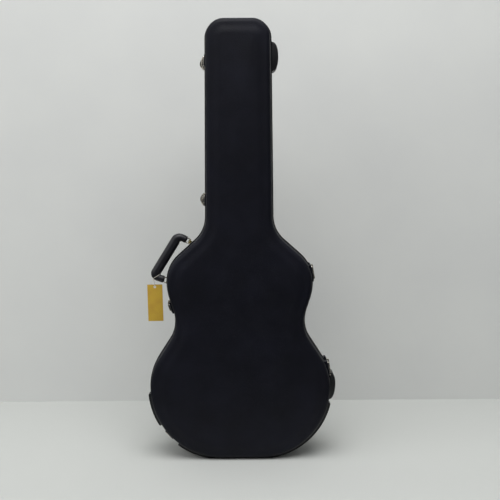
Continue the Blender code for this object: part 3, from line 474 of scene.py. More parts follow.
# Anodised aluminium: fine draw lines of the extrusion run along the band, drawn at 0.8 mm across it.
# They stretch the highlight along the edge and leave the rest nearly black.
DRAW_WIDTH = 0.0008
DRAW_LENGTH = 0.25
RUB_SPOT = 0.0077
anodised, at = new_material("black_anodised_aluminium")
draw_scale = (1 / DRAW_LENGTH, 1 / DRAW_WIDTH, 1 / DRAW_LENGTH)
drawn = add(anodised, "ShaderNodeMapping", {"Vector": at, "Scale": draw_scale})
lines = add(
    anodised,
    "ShaderNodeTexNoise",
    {"Vector": drawn.outputs["Vector"], "Scale": 1.0, "Detail": 2.0},
)
rub = add(anodised, "ShaderNodeTexNoise", {"Vector": at, "Scale": 1 / RUB_SPOT, "Detail": 6.0})
draw = add(
    anodised,
    "ShaderNodeBump",
    {"Height": lines.outputs["Fac"], "Strength": 0.2, "Distance": 0.0001},
)
surface(
    anodised,
    {
        "Base Color": two_tones(anodised, rub.outputs["Fac"], 0.35, 0.8, "#2A2B2F", "#383A3F"),
        "Metallic": 0.85,
        "Roughness": 0.34,
        "Normal": draw.outputs["Normal"],
    },
)


def rim(name, section, body):
    """A band with this section of inset and depth, all the way round."""
    band = loft(name, [outline(inset, y) for inset, y in section], caps=False, round_trip=True)
    settle(band, body, anodised, [f"{body}_rim"])


TOP = PARTING_GAP / 2
WEB = RIM_GROOVE + RIM_PLATE
INNER = RIM_DEPTH - RIM_PLATE
rim(
    "base_edge_band",
    [
        (RIM_CHAMFER, TOP),
        (RIM_PLATE, TOP),
        (RIM_PLATE, RIM_GROOVE),
        (INNER, RIM_GROOVE),
        (INNER, TOP),
        (RIM_DEPTH, TOP),
        (RIM_DEPTH, WEB),
        (RIM_PLATE, WEB),
        (RIM_PLATE, RIM_SKIRT),
        (RIM_CHAMFER, RIM_SKIRT),
        (0, RIM_SKIRT - RIM_CHAMFER),
        (0, TOP + RIM_CHAMFER),
    ],
    "base",
)
MIDDLE = RIM_DEPTH / 2
rim(
    "lid_edge_band",
    [
        (RIM_CHAMFER, -TOP),
        (0, -TOP - RIM_CHAMFER),
        (0, RIM_CHAMFER - RIM_SKIRT),
        (RIM_CHAMFER, -RIM_SKIRT),
        (RIM_PLATE, -RIM_SKIRT),
        (RIM_PLATE, -TOP - RIM_PLATE),
        (RIM_DEPTH, -TOP - RIM_PLATE),
        (RIM_DEPTH, -TOP),
        (MIDDLE + TONGUE / 2, -TOP),
        (MIDDLE + TONGUE / 2, TONGUE_REACH - RIM_CHAMFER),
        (MIDDLE + TONGUE / 2 - RIM_CHAMFER, TONGUE_REACH),
        (MIDDLE - TONGUE / 2 + RIM_CHAMFER, TONGUE_REACH),
        (MIDDLE - TONGUE / 2, TONGUE_REACH - RIM_CHAMFER),
        (MIDDLE - TONGUE / 2, -TOP),
    ],
    "lid",
)


# Bumpers
# Lengths of black polypropylene, bent round the bottom of the lower bout and screwed on from inside.
# The 4th latch interrupts them on the left.

BUMPER_PROUD = 0.003
BUMPER_START = 0.016
BUMPER_SLOPE = 0.004
BUMPER_ENDS = {"base": 0.072, "lid": 0.036}
BUMPER_LEFT_Z = 0.171
BUMPER_RIGHT_Z = {"base": 0.128, "lid": 0.144}
BUMPER_GAP = 0.0665
BUMPER_END_R = 0.004
BUMPER_END_SHARES = (0.1, 0.3, 0.6)
BUMPER_LEAST = 0.1
LATCH_END_ANGLE = math.radians(-42)

# The long edges have a small lip: how far each point lies past the slope, and below the top.
BUMPER_LIP = ((0.0015, 0.0022), (0.0024, 0.0010), (0.0030, 0.0))
BUMPER_LEVEL = 0.0004

# Angles at the flat that the case stands on: its two ends, and how close to them no other loop lies.
FLAT_END = 1e-6
FLAT_CLEAR = 0.02

# Polypropylene, moulded smooth: a waxy half gloss, with faint flow clouds and an orange peel of 2.4 mm.
FLOW = 0.04
PEEL = 0.0024
polypropylene, at = new_material("moulded_polypropylene")
flow = add(
    polypropylene,
    "ShaderNodeTexNoise",
    {"Vector": at, "Scale": 1 / FLOW, "Detail": 4.0, "Distortion": 0.6},
)
orange = add(polypropylene, "ShaderNodeTexNoise", {"Vector": at, "Scale": 1 / PEEL, "Detail": 1.0})
peel = add(
    polypropylene,
    "ShaderNodeBump",
    {"Height": orange.outputs["Fac"], "Strength": 0.15, "Distance": 0.0004},
)
wax = add(
    polypropylene,
    "ShaderNodeMapRange",
    {"Value": flow.outputs["Fac"], "From Min": 0.3, "From Max": 0.7, "To Min": 0.36, "To Max": 0.50},
)
surface(
    polypropylene,
    {
        "Base Color": two_tones(polypropylene, flow.outputs["Fac"], 0.4, 0.75, "#0E0E11", "#17181C"),
        "Roughness": wax.outputs["Result"],
        "Normal": peel.outputs["Normal"],
        "IOR": 1.49,
    },
)


def bumper_section(sign, end, share):
    """The bumper's section of inset and depth, with its height above the edge times the share."""
    y0, y1 = sign * BUMPER_START, sign * end
    proud = BUMPER_PROUD * share
    points = [(wall_inset(y0) + WALL / 2, y0)]
    for y, way in ((y0 + sign * BUMPER_SLOPE / 2, 1), (y1 - sign * BUMPER_SLOPE, -1)):
        lip = [(-proud + down * share, y - way * sign * past) for past, down in BUMPER_LIP]
        level = [(-proud, y + way * sign * BUMPER_LEVEL)]
        points += lip + level if way > 0 else level + lip[::-1]
    points.append((wall_inset(y1) + WALL / 2, y1))
    return points


def bumper(name, body, start, end, node):
    """A length of the lower bout between two angles, with rounded ends."""
    sign = 1 if body == "base" else -1
    middle = LOWER_HALF - LOWER_LOW_R
    count = math.ceil((end - start) / SKIN_STEP) + 1
    angles = list(np.linspace(start, end, count))
    end_angle = BUMPER_END_R / LOWER_LOW_R
    for share in BUMPER_END_SHARES:
        angles += [start + end_angle * share, end - end_angle * share]
    if start < 0 < end:
        angles = [a for a in angles if abs(a) > FLAT_CLEAR] + [-FLAT_END, FLAT_END]
    loops = []
    for angle in sorted(angles):
        gap = min(angle - start, end - angle) / end_angle
        share = math.sqrt(max(1 - (1 - min(gap, 1)) ** 2, BUMPER_LEAST**2))
        side = math.copysign(1, angle)
        loop = []
        for inset, y in bumper_section(sign, BUMPER_ENDS[body], share):
            reach = LOWER_LOW_R - inset
            x = side * middle + reach * math.sin(angle)
            loop.append((x, y, max(LOWER_LOW_R - reach * math.cos(angle), 0.0)))
        loops.append(loop)
    settle(loft(name, loops), body, polypropylene, [node])


def angle_at(z):
    return math.acos((LOWER_LOW_R - z) / LOWER_LOW_R)


SIDE_GAP = BUMPER_GAP / 2 / LOWER_LOW_R
LATCH_ANGLE = -math.pi / 2 - LATCH_END_ANGLE
for body in ("base", "lid"):
    end_span = (LATCH_ANGLE + SIDE_GAP, angle_at(BUMPER_RIGHT_Z[body]))
    side_span = (-angle_at(BUMPER_LEFT_Z), LATCH_ANGLE - SIDE_GAP)
    bumper(f"{body}_end_guard", body, *end_span, f"end_bumper_{body}")
    bumper(f"{body}_side_guard", body, *side_span, f"side_bumper_{body}")


# Feet
# Two half moons of the same polypropylene on the hinge side, each held by two screws in deep holes.
# The case lies or stands on them with its handle up.

FOOT_HEIGHTS = (CASE_HEIGHT - 0.0865, 0.1720)
FOOT_LENGTH = 0.072
FOOT_PROUD = 0.0175
FOOT_START = 0.020
FOOT_WIDTH = 0.052
FOOT_EDGE = 0.0035
FOOT_ROOT = -0.006
FOOT_SPAN = math.radians(80)
FOOT_BLUNT = (0.75, 0.9)
FOOT_POINTS = 33
HOLE_R = 0.0042
HOLE_FLOOR = 0.004
SCREW_SPREAD = 0.019
SCREW_R = 0.0038
SCREW_X = (0.001, 0.0062)
SCREW_ROUND = 0.0008
CROSS_X = (0.0052, 0.008)
CROSS_HALF = (0.0026, 0.0005)

# Nickel plated steel: bright and slightly warm, with a brushed press finish of 1.1 mm strokes and dull
# handling spots of about 6 mm.
SPOT = 0.00625
STROKE_WIDTH = 0.00111
STROKE_LENGTH = 0.0167
nickel, at = new_material("nickel_plated_steel")
spots = add(nickel, "ShaderNodeTexNoise", {"Vector": at, "Scale": 1 / SPOT, "Detail": 6.0})
stroke_scale = (1 / STROKE_WIDTH, 1 / STROKE_WIDTH, 1 / STROKE_LENGTH)
brush = add(nickel, "ShaderNodeMapping", {"Vector": at, "Scale": stroke_scale})
strokes = add(
    nickel,
    "ShaderNodeTexNoise",
    {"Vector": brush.outputs["Vector"], "Scale": 1.0, "Detail": 2.0},
)
scratch = add(
    nickel,
    "ShaderNodeBump",
    {"Height": strokes.outputs["Fac"], "Strength": 0.06, "Distance": 0.0001},
)
dull = add(
    nickel,
    "ShaderNodeMapRange",
    {"Value": spots.outputs["Fac"], "From Min": 0.3, "From Max": 0.75, "To Min": 0.07, "To Max": 0.15},
)
surface(
    nickel,
    {
        "Base Color": two_tones(nickel, spots.outputs["Fac"], 0.35, 0.8, "#D6D2C8", "#C9C3B6"),
        "Metallic": 1.0,
        "Roughness": dull.outputs["Result"],
        "Normal": scratch.outputs["Normal"],
    },
)


def rod(name, radius, start, end, sides=32):
    """A round bar between two points."""
    way = Vector(end) - Vector(start)
    cylinder = bpy.ops.mesh.primitive_cylinder_add
    obj = primitive(name, cylinder, vertices=sides, radius=radius, depth=way.length)
    turn = way.to_track_quat("Z", "Y").to_matrix().to_4x4()
    obj.data.transform(Matrix.Translation((Vector(start) + Vector(end)) / 2) @ turn)
    return obj


def foot_outline():
    """A half moon: a blunt ellipse that starts inside the wall."""
    half = FOOT_LENGTH / 2
    points = [(FOOT_ROOT, -half), (0.0, -half)]
    for angle in np.linspace(-FOOT_SPAN, FOOT_SPAN, FOOT_POINTS):
        x = FOOT_PROUD * math.cos(angle) ** FOOT_BLUNT[0]
        z = half * math.copysign(abs(math.sin(angle)) ** FOOT_BLUNT[1], angle)
        points.append((x, z))
    return points + [(0.0, half), (FOOT_ROOT, half)]


def screw_head(name, y, z):
    """A round head with a cross slot, which points along X."""
    head = rod(name, SCREW_R, (SCREW_X[0], y, z), (SCREW_X[1], y, z))
    round_off(head, SCREW_ROUND, 3, lambda edge: min(v.co.x for v in edge.verts) > CROSS_X[0])
    for half_y, half_z in (CROSS_HALF, CROSS_HALF[::-1]):
        low = (CROSS_X[0], y - half_y, z - half_z)
        cut(head, block("slot", low, (CROSS_X[1], y + half_y, z + half_z)))
    return head


for name, z in zip(("upper_foot", "lower_foot"), FOOT_HEIGHTS):
    place = local_frame(*edge_frame(z, 1))
    ends = (FOOT_START, FOOT_START + FOOT_WIDTH)
    foot = loft(f"{name}_block", [[(x, y, z) for x, z in foot_outline()] for y in ends])
    round_off(
        foot,
        FOOT_EDGE,
        4,
        lambda edge: abs(edge.verts[0].co.y - edge.verts[1].co.y) < ON_PLANE
        and min(v.co.x for v in edge.verts) > ON_PLANE,
    )
    heads = []
    for way in (-1, 1):
        middle = (FOOT_START + FOOT_WIDTH / 2, way * SCREW_SPREAD)
        cut(foot, rod("screw_hole", HOLE_R, (HOLE_FLOOR, *middle), (2 * FOOT_PROUD, *middle)))
        heads.append(screw_head(f"{name}_screw", *middle))
    settle(foot, "base", polypropylene, [name], place)
    settle(merge(*heads), "base", nickel, place=place)


# Hinges
# Two butt hinges of pressed steel, nickel plated, each with a rolled knuckle in three parts on a
# headed pin, and three rivets in each leaf.

LEAF = 0.0014
LEAF_CORNER = 0.004
LEAF_RIVETS = ((0.011, -0.011), (0.011, 0.011), (0.023, 0.0))
EDGE_ROUND = 0.0003
KNUCKLE_PLAY = 0.00005
PIN_R = 0.0014
PIN_PLAY = 0.0001
PIN_END = 0.0008
PIN_HEAD = (0.0022, 0.0010)
RIVET_R = 0.0024
RIVET_HEIGHT = 0.0011
CUT_PAST = 0.001


def rivet(name, place, radius=RIVET_R, height=RIVET_HEIGHT):
    """A domed rivet head that stands on a place and points along X."""
    sphere = bpy.ops.mesh.primitive_uv_sphere_add
    obj = primitive(name, sphere, segments=24, ring_count=12, radius=1)
    obj.data.transform(Matrix.Translation(place) @ Matrix.Diagonal((height, radius, radius, 1)))
    return obj


def ring_tube(name, outer, inner, start, end, sides=32):
    """A short tube between two points."""
    tube = rod(name, outer, start, end, sides)
    reach = (Vector(end) - Vector(start)).normalized() * CUT_PAST
    cut(tube, rod("bore", inner, Vector(start) - reach, Vector(end) + reach, sides))
    return tube


def hinge_leaf(name, sign, knuckles):
    """A leaf with rounded outer corners, its rolled knuckles and three rivets."""
    start = KNUCKLE_R * 0.5
    ys = sorted((sign * start, sign * LEAF_REACH))
    half = HINGE_LENGTH / 2
    leaf = block(name, (-KNUCKLE_R, ys[0], -half), (LEAF - KNUCKLE_R, ys[1], half))
    outer = sign * LEAF_REACH
    top = LEAF - KNUCKLE_R
    round_off(leaf, LEAF_CORNER, 6, lambda e: along(e, 0) and abs(e.verts[0].co.y - outer) < ON_PLANE)
    round_off(leaf, EDGE_ROUND, 2, lambda e: min(v.co.x for v in e.verts) > top - ON_PLANE)
    y0, y1 = sorted((sign * (start - CUT_PAST), sign * (KNUCKLE_R + CUT_PAST / 2)))
    for z0, z1 in zip([-half] + [b for _, b in knuckles], [a for a, _ in knuckles] + [half]):
        if z1 - z0 > LEAF:
            low = (-2 * KNUCKLE_R, y0, z0 - KNUCKLE_PLAY)
            cut(leaf, block("gap", low, (2 * KNUCKLE_R, y1, z1 + KNUCKLE_PLAY)))
    parts = []
    for z0, z1 in knuckles:
        parts.append(ring_tube(f"{name}_roll", KNUCKLE_R, PIN_R + PIN_PLAY, (0, 0, z0), (0, 0, z1)))
    for y, z in LEAF_RIVETS:
        parts.append(rivet(f"{name}_rivet", (top, sign * y, z)))
    return merge(leaf, *parts)


THIRD = HINGE_LENGTH / 3
for name, place in zip(("upper_hinge", "lower_hinge"), HINGES):
    half = HINGE_LENGTH / 2
    gap = FIT / 2
    outer = [(-half, -THIRD / 2 - gap), (THIRD / 2 + gap, half)]
    inner = [(-THIRD / 2 + gap, THIRD / 2 - gap)]
    base_leaf = hinge_leaf(f"{name}_plate_base", 1, outer)
    settle(base_leaf, "base", nickel, [f"{name}_base_leaf"], place)
    lid_leaf = hinge_leaf(f"{name}_plate_lid", -1, inner)
    settle(lid_leaf, "lid", nickel, [f"{name}_lid_leaf"], place)
    pin = rod(f"{name}_spindle", PIN_R, (0, 0, -half - PIN_END), (0, 0, half + PIN_END))
    heads = []
    for way in (-1, 1):
        head = rivet(f"{name}_head", (0, 0, 0), *PIN_HEAD)
        turn = Matrix.Rotation(math.pi / 2, 4, "Y")
        head.data.transform(Matrix.Translation((0, 0, way * (half + FIT))) @ turn)
        heads.append(head)
    settle(merge(pin, *heads), "base", nickel, [f"{name}_pin"], place)


# Latches
# Four draw latches of pressed steel, nickel plated: a domed lever with ears that turns on a pin in
# the plate, a hook that turns on the lever, and a catch with a rolled lip on the lid.

PLATE = 0.0012
PLATE_START = 0.0030
SHEET = 0.0012
DOME_SIDE = 0.0035
DOME_CROWN = 0.0145
LEVER_END = 0.0445
DOME_START = 0.0326
DOME_POINTS = 25
COVER_ROUND = 0.0030
HOLLOW_ROUND = 0.0022
SLOPE_PLAY = 0.0004
SLOPE_BEND = 1.25
SLOPE_SHARES = (0.8, 0.6, 0.4, 0.2)
SLOT_HALF = 0.0112
THUMB_LIP_X = (0.0030, 0.0042)
THUMB_LIP_Y = (LEVER_END - 0.0006, LEVER_END + 0.0016)
THUMB_LIP_HALF = 0.0095
PLATE_CORNER = 0.0030
PLATE_RIVETS = (0.0066, 0.0140)
PLATE_RIVET = (0.0021, 0.0010)
CATCH_RIVETS = (0.0215, 0.0062)
LEVER_LOW = PLATE_STAND + PLATE + FIT
LEVER_PIN_R = 0.0015
LEVER_EAR_R = 0.0026
LEVER_EARS = (0.0136, 0.0152)
EAR_ROUND = 0.0002
PLATE_EAR_R = 0.0031
PLATE_EARS = (0.0095, 0.0107)
PIN_HALF = 0.0154
HOOK_THROW = 0.0070
HOOK_TILT = math.radians(-4)
HOOK_HALF = 0.0085
HOOK_ROLL_R = 0.0021
HOOK_PIN_R = 0.0012
HOOK_UNDER = LEVER_PIVOT[0] + LEVER_PIN_R + 0.0004
HOOK_REACH = 0.0122
HOOK_NOSE = 0.0011
HOOK_BEND = 0.0004
END_ROUND = 0.0005
LIP_Y = 0.0093
LIP_TOP = HOOK_UNDER - HOOK_NOSE - 0.0005
HOOK_PIVOT = (
    LEVER_PIVOT[0] + HOOK_THROW * math.sin(HOOK_TILT),
    LEVER_PIVOT[1] + HOOK_THROW * math.cos(HOOK_TILT),
)


def dome_section(half, side, crown, low):
    """Straight sides and an arched top, as X out and Z along the edge."""
    rise = crown - side
    radius = (half * half + rise * rise) / (2 * rise)
    spread = math.asin(half / radius)
    points = [(low, -half)]
    for angle in np.linspace(-spread, spread, DOME_POINTS):
        points.append((crown - radius + radius * math.cos(angle), radius * math.sin(angle)))
    return points + [(low, half)]


def slab(name, section, start, end):
    """A section of X and Z points, drawn out along Y."""
    return loft(name, [[(x, y, z) for x, z in section] for y in (start, end)])


def band(name, profile, half):
    """A profile of X and Y points, drawn out along Z."""
    return loft(name, [[(x, y, z) for x, y in profile] for z in (-half, half)])


def slope(down):
    """What is cut from above the lever's slope, as X and Y points, set down for the inside."""
    low = LEVER_PIVOT[0] + LEVER_EAR_R - SLOPE_PLAY
    above = DOME_CROWN + SHEET
    points = [
        (low, LEVER_PIVOT[1] - SHEET),
        (above, LEVER_PIVOT[1] - SHEET),
        (above, DOME_START),
        (DOME_CROWN - SHEET, DOME_START),
    ]
    for share in SLOPE_SHARES:
        x = low + (DOME_CROWN - SHEET - low) * share
        points.append((x, LEVER_PIVOT[1] + (DOME_START - LEVER_PIVOT[1]) * share**SLOPE_BEND))
    points.append((low, LEVER_PIVOT[1] + SLOPE_PLAY))
    return [(x - down, y + down / 2) for x, y in points]


def end_edge(end):
    """A test for the edges of a slab's far end, but for the one at its foot."""
    return (
        lambda edge: min(v.co.y for v in edge.verts) > end - ON_PLANE
        and min(v.co.x for v in edge.verts) > COVER_ROUND
    )


def lever(name):
    """The domed cover: rounded at its end, hollow, sloped to its pivot and slotted for the hook."""
    start, near, inner_end = LEVER_PIVOT[1], LEVER_PIVOT[1] - SHEET, LEVER_END - SHEET
    outer = dome_section(LATCH_HALF, DOME_SIDE, DOME_CROWN, LEVER_LOW)
    cover = slab(name, outer, start, LEVER_END)
    round_off(cover, COVER_ROUND, 5, end_edge(LEVER_END))
    cut(cover, band("above", slope(0), 2 * LATCH_HALF))
    inner = dome_section(*(size - SHEET for size in (LATCH_HALF, DOME_SIDE, DOME_CROWN, LEVER_LOW)))
    # The hollow stays below the slope, and the slot goes up through it between the shoulders.
    hollow, slot = (slab(part, inner, near, inner_end) for part in ("hollow", "slot"))
    for part in (hollow, slot):
        round_off(part, HOLLOW_ROUND, 4, end_edge(inner_end))
    for way in (-1, 1):
        z0, z1 = sorted((way * SLOT_HALF, way * 2 * LATCH_HALF))
        low = (-DOME_CROWN, near - CUT_PAST, z0)
        cut(slot, block("side", low, (2 * DOME_CROWN, LEVER_END, z1)))
    cut(hollow, band("above", slope(SHEET), 2 * LATCH_HALF))
    cut(cover, hollow)
    cut(cover, slot)
    parts = []
    for z0, z1 in (LEVER_EARS, (-LEVER_EARS[1], -LEVER_EARS[0])):
        ear = rod(f"{name}_ear", LEVER_EAR_R, (*LEVER_PIVOT, z0), (*LEVER_PIVOT, z1), 28)
        round_off(ear, EAR_ROUND, 2, lambda e: not along(e, 2))
        parts.append(ear)
    low = (THUMB_LIP_X[0], THUMB_LIP_Y[0], -THUMB_LIP_HALF)
    lip = block(f"{name}_lip", low, (THUMB_LIP_X[1], THUMB_LIP_Y[1], THUMB_LIP_HALF))
    round_off(lip, SHEET, 4, lambda e: along(e, 0) and e.verts[0].co.y > LEVER_END)
    round_off(lip, EDGE_ROUND, 2, lambda e: not along(e, 0))
    return merge(cover, lip, *parts)


def latch_plate(name):
    """The riveted plate with its two ears."""
    half = LATCH_HALF + LATCH_MARGIN
    low, high = PLATE_STAND, PLATE_STAND + PLATE
    plate = block(name, (low, PLATE_START, -half), (high, PLATE_END, half))
    round_off(plate, PLATE_CORNER, 5, lambda e: along(e, 0))
    round_off(plate, EDGE_ROUND, 2, lambda e: min(v.co.x for v in e.verts) > high - ON_PLANE)
    parts = []
    for z0, z1 in (PLATE_EARS, (-PLATE_EARS[1], -PLATE_EARS[0])):
        ear = rod(f"{name}_ear", PLATE_EAR_R, (*LEVER_PIVOT, z0), (*LEVER_PIVOT, z1), 28)
        parts.append(ear)
        y0, y1 = LEVER_PIVOT[1] - PLATE_EAR_R, LEVER_PIVOT[1] + PLATE_EAR_R
        parts.append(block(f"{name}_foot", (low, y0, z0), (LEVER_PIVOT[0], y1, z1)))
    rivet_y, rivet_z = PLATE_RIVETS
    for z in (-rivet_z, rivet_z):
        parts.append(rivet(f"{name}_rivet", (high, rivet_y, z), *PLATE_RIVET))
    return merge(plate, *parts)


def latch_hook(name):
    """A bent strip from its knuckle on the lever, over the pin, to a rolled nose at the catch."""
    px, py = HOOK_PIVOT
    under, top = HOOK_UNDER, HOOK_UNDER + SHEET
    root = HOOK_ROLL_R * 0.4
    # The strip's bends, as steps from its knuckle's middle, its underside and its top.
    underside = [
        (px - 0.0008, py - root),
        (px + 0.0006, py - 0.0034),
        (under - HOOK_BEND, py - 0.0047),
        (under, py - 0.0056),
        (under, SHEET + HOOK_BEND - HOOK_REACH),
        (under - HOOK_BEND, SHEET - HOOK_REACH),
    ]
    nose = [
        (under - HOOK_NOSE, SHEET - HOOK_REACH),
        (under - HOOK_NOSE, -HOOK_REACH),
        (top - HOOK_NOSE, -HOOK_REACH),
        (top - HOOK_BEND, EDGE_ROUND - HOOK_REACH),
        (top, HOOK_NOSE - HOOK_REACH),
    ]
    upper_side = [
        (top, py - 0.0044),
        (top - EDGE_ROUND, py - 0.0036),
        (px + 0.0014, py - 0.0012),
        (px + 0.0010, py + root),
    ]
    strip = band(name, underside + nose + upper_side, HOOK_HALF)
    round_off(strip, EDGE_ROUND, 2, lambda e: abs(e.verts[0].co.z - e.verts[1].co.z) < ON_PLANE)
    roll = rod(f"{name}_roll", HOOK_ROLL_R, (px, py, -HOOK_HALF), (px, py, HOOK_HALF), 28)
    link = rod(f"{name}_link", HOOK_PIN_R, (px, py, -PIN_HALF), (px, py, PIN_HALF), 20)
    return merge(strip, roll, link)


def latch_catch(name):
    """A riveted plate on the lid with a rolled lip that the hook pulls on."""
    low, high = PLATE_STAND, PLATE_STAND + PLATE
    plate = block(name, (low, -CATCH_END, -CATCH_HALF), (high, -LIP_Y - SHEET / 2, CATCH_HALF))
    far = PLATE_CORNER - CATCH_END
    round_off(plate, PLATE_CORNER, 5, lambda e: along(e, 0) and e.verts[0].co.y < far)
    round_off(plate, EDGE_ROUND, 2, lambda e: min(v.co.x for v in e.verts) > high - ON_PLANE)
    lip = block(f"{name}_lip", (low, -LIP_Y - SHEET, -CATCH_HALF), (LIP_TOP, -LIP_Y, CATCH_HALF))
    round_off(lip, END_ROUND, 4, lambda e: along(e, 2) and e.verts[0].co.x > LIP_TOP - ON_PLANE)
    rivet_y, rivet_z = CATCH_RIVETS
    rivets = [rivet(f"{name}_rivet", (high, -rivet_y, z)) for z in (-rivet_z, rivet_z)]
    return merge(plate, lip, *rivets)


def spindle(name):
    """The lever's pin with its domed ends."""
    pin = rod(name, LEVER_PIN_R, (*LEVER_PIVOT, -PIN_HALF), (*LEVER_PIVOT, PIN_HALF), 24)
    round_off(pin, END_ROUND, 3, lambda e: not along(e, 2))
    return pin


for number, place in enumerate(LATCHES, 1):
    name = f"latch_{number}"
    for piece, rides, node in (
        (latch_plate(f"{name}_mount"), "base", "plate"),
        (lever(f"{name}_cover"), f"lever_{number}", "lever"),
        (latch_hook(f"{name}_draw_hook"), f"hook_{number}", "hook"),
        (spindle(f"{name}_spindle"), "base", "pin"),
        (latch_catch(f"{name}_keeper"), "lid", "catch"),
    ):
        settle(piece, rides, nickel, [f"{name}_{node}"], place)


# Handle
# A smooth C of black moulded vinyl, with a wire ring in each leg. The rings turn in barrels that are
# pressed from brassed plates, which are riveted to the side of the base.

HANDLE_HEIGHTS = (0.5485, 0.4455)
HANDLE_Y = 0.038
HANDLE_REACH = 0.0333
HANDLE_SKEW = math.radians(-2.5)
GRIP_R = 0.0100
BEND_RADII = (0.0140, 0.0085)
PALM_R = 0.0140
FINGER_R = 0.0104
LEG_R = 0.0090
LEG_REACHES = (0.0080, 0.0092)
LEG_TIP_R = 0.0030
LEG_TILTS = (0.0, math.radians(12))
TIP_SHARES = (0.0, 0.15, 0.5, 1.0)
BEND_POINTS = 13
GRIP_POINTS = 48
BAR_SHARES = (0.03, 0.08, 0.3, 0.55, 0.8, 1.0)
RIDGE = 0.00025
RIDGE_HALF_ANGLE = 0.05
WIRE_R = 0.0015
RING_HALF = 0.0062
RING_CORNER = 0.0022
CORNER_POINTS = 7
BARREL_R = 0.0034
BARREL_LENGTH = 0.0080
BARREL_STAND = 0.0074
BARREL_PLAY = 0.0002
BRACKET = (0.020, 0.026, 0.0015)
BRACKET_SINK = 0.003
BRACKET_CORNER = 0.0035
BRACKET_EDGE = 0.0004
BRACKET_RIVETS = (0.0062, 0.0090)
BRACKET_RIVET = (0.0021, 0.0011)
WEB_HALF = 0.85 * BARREL_R
WEB_TOP = -0.8 * BARREL_R

# Injection moulded vinyl: smooth, with a faint orange peel of 3 mm and hand polish in wider spots.
VINYL_PEEL = 0.00333
WORN_SPOT = 0.0222
vinyl, at = new_material("moulded_vinyl")
skin = add(vinyl, "ShaderNodeTexNoise", {"Vector": at, "Scale": 1 / VINYL_PEEL, "Detail": 2.0})
wear = add(vinyl, "ShaderNodeTexNoise", {"Vector": at, "Scale": 1 / WORN_SPOT, "Detail": 4.0})
dimple = add(
    vinyl,
    "ShaderNodeBump",
    {"Height": skin.outputs["Fac"], "Strength": 0.12, "Distance": 0.0004},
)
polish = add(
    vinyl,
    "ShaderNodeMapRange",
    {"Value": wear.outputs["Fac"], "From Min": 0.3, "From Max": 0.7, "To Min": 0.40, "To Max": 0.52},
)
surface(
    vinyl,
    {
        "Base Color": two_tones(vinyl, wear.outputs["Fac"], 0.35, 0.7, "#100F16", "#1A1921"),
        "Roughness": polish.outputs["Result"],
        "Normal": dimple.outputs["Normal"],
        "IOR": 1.54,
    },
)

# Brass plated steel: yellow green in the room's light, darker in spots of 5 mm where the lacquer has
# dulled.
TARNISH = 0.00476
brassed, at = new_material("brass_plated_steel")
tarnish = add(brassed, "ShaderNodeTexNoise", {"Vector": at, "Scale": 1 / TARNISH, "Detail": 5.0})
lacquer = add(
    brassed,
    "ShaderNodeMapRange",
    {"Value": tarnish.outputs["Fac"], "From Min": 0.3, "From Max": 0.7, "To Min": 0.22, "To Max": 0.45},
)
surface(
    brassed,
    {
        "Base Color": two_tones(brassed, tarnish.outputs["Fac"], 0.38, 0.72, "#BDB48C", "#827A58"),
        "Metallic": 1.0,
        "Roughness": lacquer.outputs["Result"],
    },
)


def handle_frame():
    """X outwards from the swing axis, Y deep, Z down the axis, and the length between the legs."""
    joint = joint_named("handle_swing")
    axis = Vector(joint["axis"]).normalized()
    place = local_frame(Vector(joint["pos_m"]) - CASE_PLACE, Vector((0, 1, 0)).cross(axis))
    middles = [sum(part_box(f"handle_loop_{end}"), Vector()) / 2 for end in ("upper", "lower")]
    return place, (middles[1] - middles[0]).dot(axis)


HANDLE_PLACE, HANDLE_SPAN = handle_frame()
LEGS = list(zip(LEG_REACHES, (-HANDLE_SPAN / 2, HANDLE_SPAN / 2)))


def spoke(angle):
    """A way out from a bend's centre, in the handle's plane."""
    return Vector((math.cos(angle), 0, math.sin(angle)))


def bend(end):
    """A leg's start, direction and angle, and the centre of the bend between it and the bar."""
    way = (-1, 1)[end]
    reach, z = LEGS[end]
    tilt, radius = LEG_TILTS[end], BEND_RADII[end]
    start = Vector((reach, 0, z))
    run = Vector((math.cos(tilt), 0, way * math.sin(tilt)))
    angle = way * (math.pi / 2 + tilt)
    foot = start - spoke(angle) * radius
    side = spoke(HANDLE_SKEW)
    length = (HANDLE_REACH * math.cos(HANDLE_SKEW) - radius - foot.dot(side)) / run.dot(side)
    return start, run, angle, foot + run * length


def grip_line():
    """Middle points, angles, shares of the bar's thickness, fingers' radii and tip cuts, tip to tip."""
    halves = []
    for end in (0, 1):
        start, run, angle, centre = bend(end)
        radius = BEND_RADII[end]
        first = centre + spoke(angle) * radius
        half = []
        for back in TIP_SHARES:
            half.append((start + run * LEG_TIP_R * back, angle, 0.0, LEG_R, LEG_TIP_R * (1 - back) ** 2))
        half.append(((half[-1][0] + first) / 2, angle, 0.0, LEG_R, 0.0))
        for share in np.linspace(0, 1, BEND_POINTS):
            turned = angle + share * (HANDLE_SKEW - angle)
            half.append((centre + spoke(turned) * radius, turned, share, LEG_R, 0.0))
        last = half[-1][0]
        middle = Vector((HANDLE_REACH, 0, 0))
        for share in BAR_SHARES:
            half.append((last.lerp(middle, share), HANDLE_SKEW, 1.0, FINGER_R, 0.0))
        halves.append(half)
    return halves[0] + halves[1][-2::-1]


